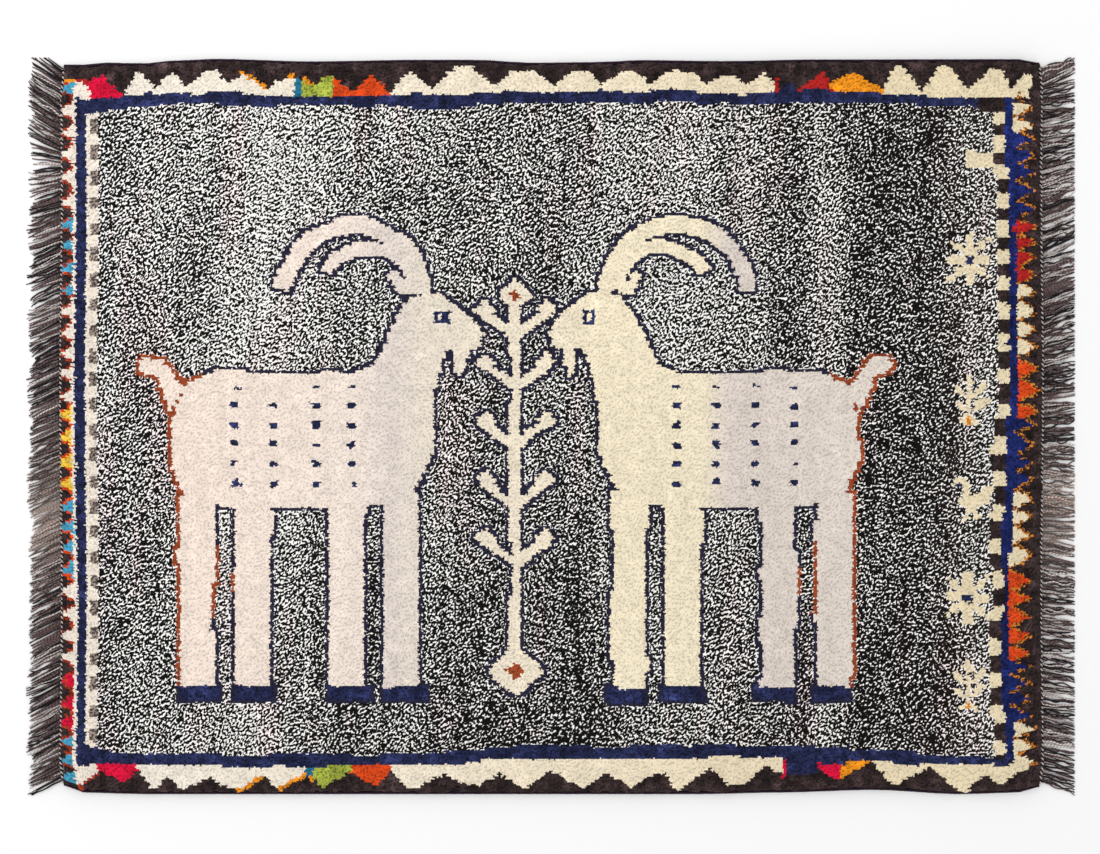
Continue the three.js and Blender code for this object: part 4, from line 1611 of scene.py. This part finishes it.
class RUG_OT_pile(PieceOperator, bpy.types.Operator):
    """Ties the knotted pile and weaves the foundation under it"""

    bl_idname = "rug.pile"
    bl_label = "Pile and foundation"

    def execute(self, context):
        sizes, colours = self.settings(context)
        pile = Pile(sizes, colours)
        normals = pile.normals()
        material = wool_material(PILE_WOOL, pile_mask)
        for number in range(PILE_STRIPS):
            join_to_rug(pile.strip(number, normals), "pile", material, "pile_body")
        back = wool_material(BACK_WOOL, back_mask)
        join_to_rug(foundation_object(pile, sizes, colours), "pile", back, "pile_body")
        return {"FINISHED"}


class RUG_OT_selvedges(PieceOperator, bpy.types.Operator):
    """Overcasts the two long sides"""

    bl_idname = "rug.selvedges"
    bl_label = "Selvedges"

    def execute(self, context):
        sizes, colours = self.settings(context)
        outline = Outline()
        material = wool_material(SELVEDGE_WOOL, twist_mask)
        for side, node in ((1, "selvedge_far"), (-1, "selvedge_near")):
            join_to_rug(selvedge_object(sizes, colours, outline, side), "selvedge", material, node)
        return {"FINISHED"}


class RUG_OT_ends(PieceOperator, bpy.types.Operator):
    """Twines the row at each end and leaves the warps loose as a fringe"""

    bl_idname = "rug.ends"
    bl_label = "Twined rows and fringes"

    def execute(self, context):
        sizes, colours = self.settings(context)
        outline = Outline()
        material = wool_material(WARP_WOOL, twist_mask)
        for side, node in ((-1, "fringe_left"), (1, "fringe_right")):
            join_to_rug(fringe_object(sizes, colours, outline, side), "fringe", material, node)
            join_to_rug(twined_row_object(sizes, colours, outline, side), "fringe", material, node)
        return {"FINISHED"}


class RUG_OT_declare(PieceOperator, bpy.types.Operator):
    bl_idname = "rug.declare"
    bl_label = "Declare the cloth"

    def execute(self, context):
        return {"FINISHED"}


class RUG_OT_stage(PieceOperator, bpy.types.Operator):
    """Lays the floor, sets the lights and the camera straight above the rug"""

    bl_idname = "rug.stage"
    bl_label = "Floor, light and camera"

    def execute(self, context):
        _, colours = self.settings(context)
        lay_floor(colours)
        set_lights(context.scene)
        set_camera(context.scene)
        return {"FINISHED"}


def lay_floor(colours):
    """A plain pale floor just under the rug."""
    HALF = 6.0
    DROP = 0.1 * MM
    mesh = bpy.data.meshes.new("floor")
    corners = [(HALF * x, HALF * y, -DROP) for x, y in ((-1, -1), (1, -1), (1, 1), (-1, 1))]
    mesh.from_pydata(corners, [], [(0, 1, 2, 3)])
    floor = bpy.data.objects.new("floor", mesh)
    bpy.context.scene.collection.objects.link(floor)
    material = bpy.data.materials.new("Pale floor")
    material.use_nodes = True
    shader = material.node_tree.nodes["Principled BSDF"]
    shader.inputs["Base Color"].default_value = (*linear(colours.floor), 1.0)
    shader.inputs["Roughness"].default_value = 0.9
    shader.inputs["Specular IOR Level"].default_value = 0.1
    mesh.materials.append(material)


def set_lights(scene):
    """A large soft light from the upper left, over an even white surround."""
    KEY_PLACE = (-1.8, 1.9, 3.4)
    KEY_SIDE = 2.4
    KEY_POWER = 66.0
    SURROUND = 0.95
    light = bpy.data.lights.new("key", "AREA")
    light.shape = "SQUARE"
    light.size = KEY_SIDE
    light.energy = KEY_POWER
    key = bpy.data.objects.new("key", light)
    key.location = KEY_PLACE
    east, north, up = KEY_PLACE
    tilt = math.atan2(math.hypot(east, north), up)
    key.rotation_euler = (tilt, 0, math.atan2(east, -north) + math.pi)
    scene.collection.objects.link(key)
    world = bpy.data.worlds.new("surround")
    world.use_nodes = True
    world.node_tree.nodes["Background"].inputs["Color"].default_value = (1, 1, 1, 1)
    world.node_tree.nodes["Background"].inputs["Strength"].default_value = SURROUND
    scene.world = world
    scene.view_settings.view_transform = "Standard"


def set_camera(scene):
    """The camera looks straight down, as the photograph does."""
    LENS = 100.0
    SENSOR = 36.0
    VIEW_WIDTH = 1.683
    VIEW_MIDDLE = (-2.4 * MM, 0.0)
    FARTHEST = 50.0
    camera = bpy.data.cameras.new("camera")
    camera.lens = LENS
    camera.sensor_width = SENSOR
    camera.clip_end = FARTHEST
    eye = bpy.data.objects.new("camera", camera)
    eye.location = (*VIEW_MIDDLE, VIEW_WIDTH * LENS / SENSOR + PILE_HEIGHT * MM)
    scene.collection.objects.link(eye)
    scene.camera = eye


class RUG_PT_panel(bpy.types.Panel):
    """The rug's settings and pieces"""

    bl_idname = "RUG_PT_panel"
    bl_label = "Gabbeh rug"
    bl_space_type = "VIEW_3D"
    bl_region_type = "UI"
    bl_category = "Rug"

    def draw(self, context):
        for settings in (context.scene.rug_sizes, context.scene.rug_colours):
            box = self.layout.box()
            for name in settings.__annotations__:
                box.prop(settings, name)
        for operator in OPERATORS:
            self.layout.operator(operator.bl_idname)


OPERATORS = (RUG_OT_pile, RUG_OT_selvedges, RUG_OT_ends, RUG_OT_declare, RUG_OT_stage)
CLASSES = (RugSizes, RugColours) + OPERATORS + (RUG_PT_panel,)


def register():
    """Registers the classes and hangs the settings on the scene."""
    for item in CLASSES:
        bpy.utils.register_class(item)
    bpy.types.Scene.rug_sizes = bpy.props.PointerProperty(type=RugSizes)
    bpy.types.Scene.rug_colours = bpy.props.PointerProperty(type=RugColours)


def unregister():
    """Takes away what register set up."""
    del bpy.types.Scene.rug_colours
    del bpy.types.Scene.rug_sizes
    for item in reversed(CLASSES):
        bpy.utils.unregister_class(item)


def main():
    """Builds the rug and the stage."""
    register()
    bpy.ops.rug.pile()
    bpy.ops.rug.selvedges()
    bpy.ops.rug.ends()
    bpy.ops.rug.declare()
    bpy.ops.rug.stage()
    bpy.context.view_layer.update()


if __name__ == "__main__":
    main()
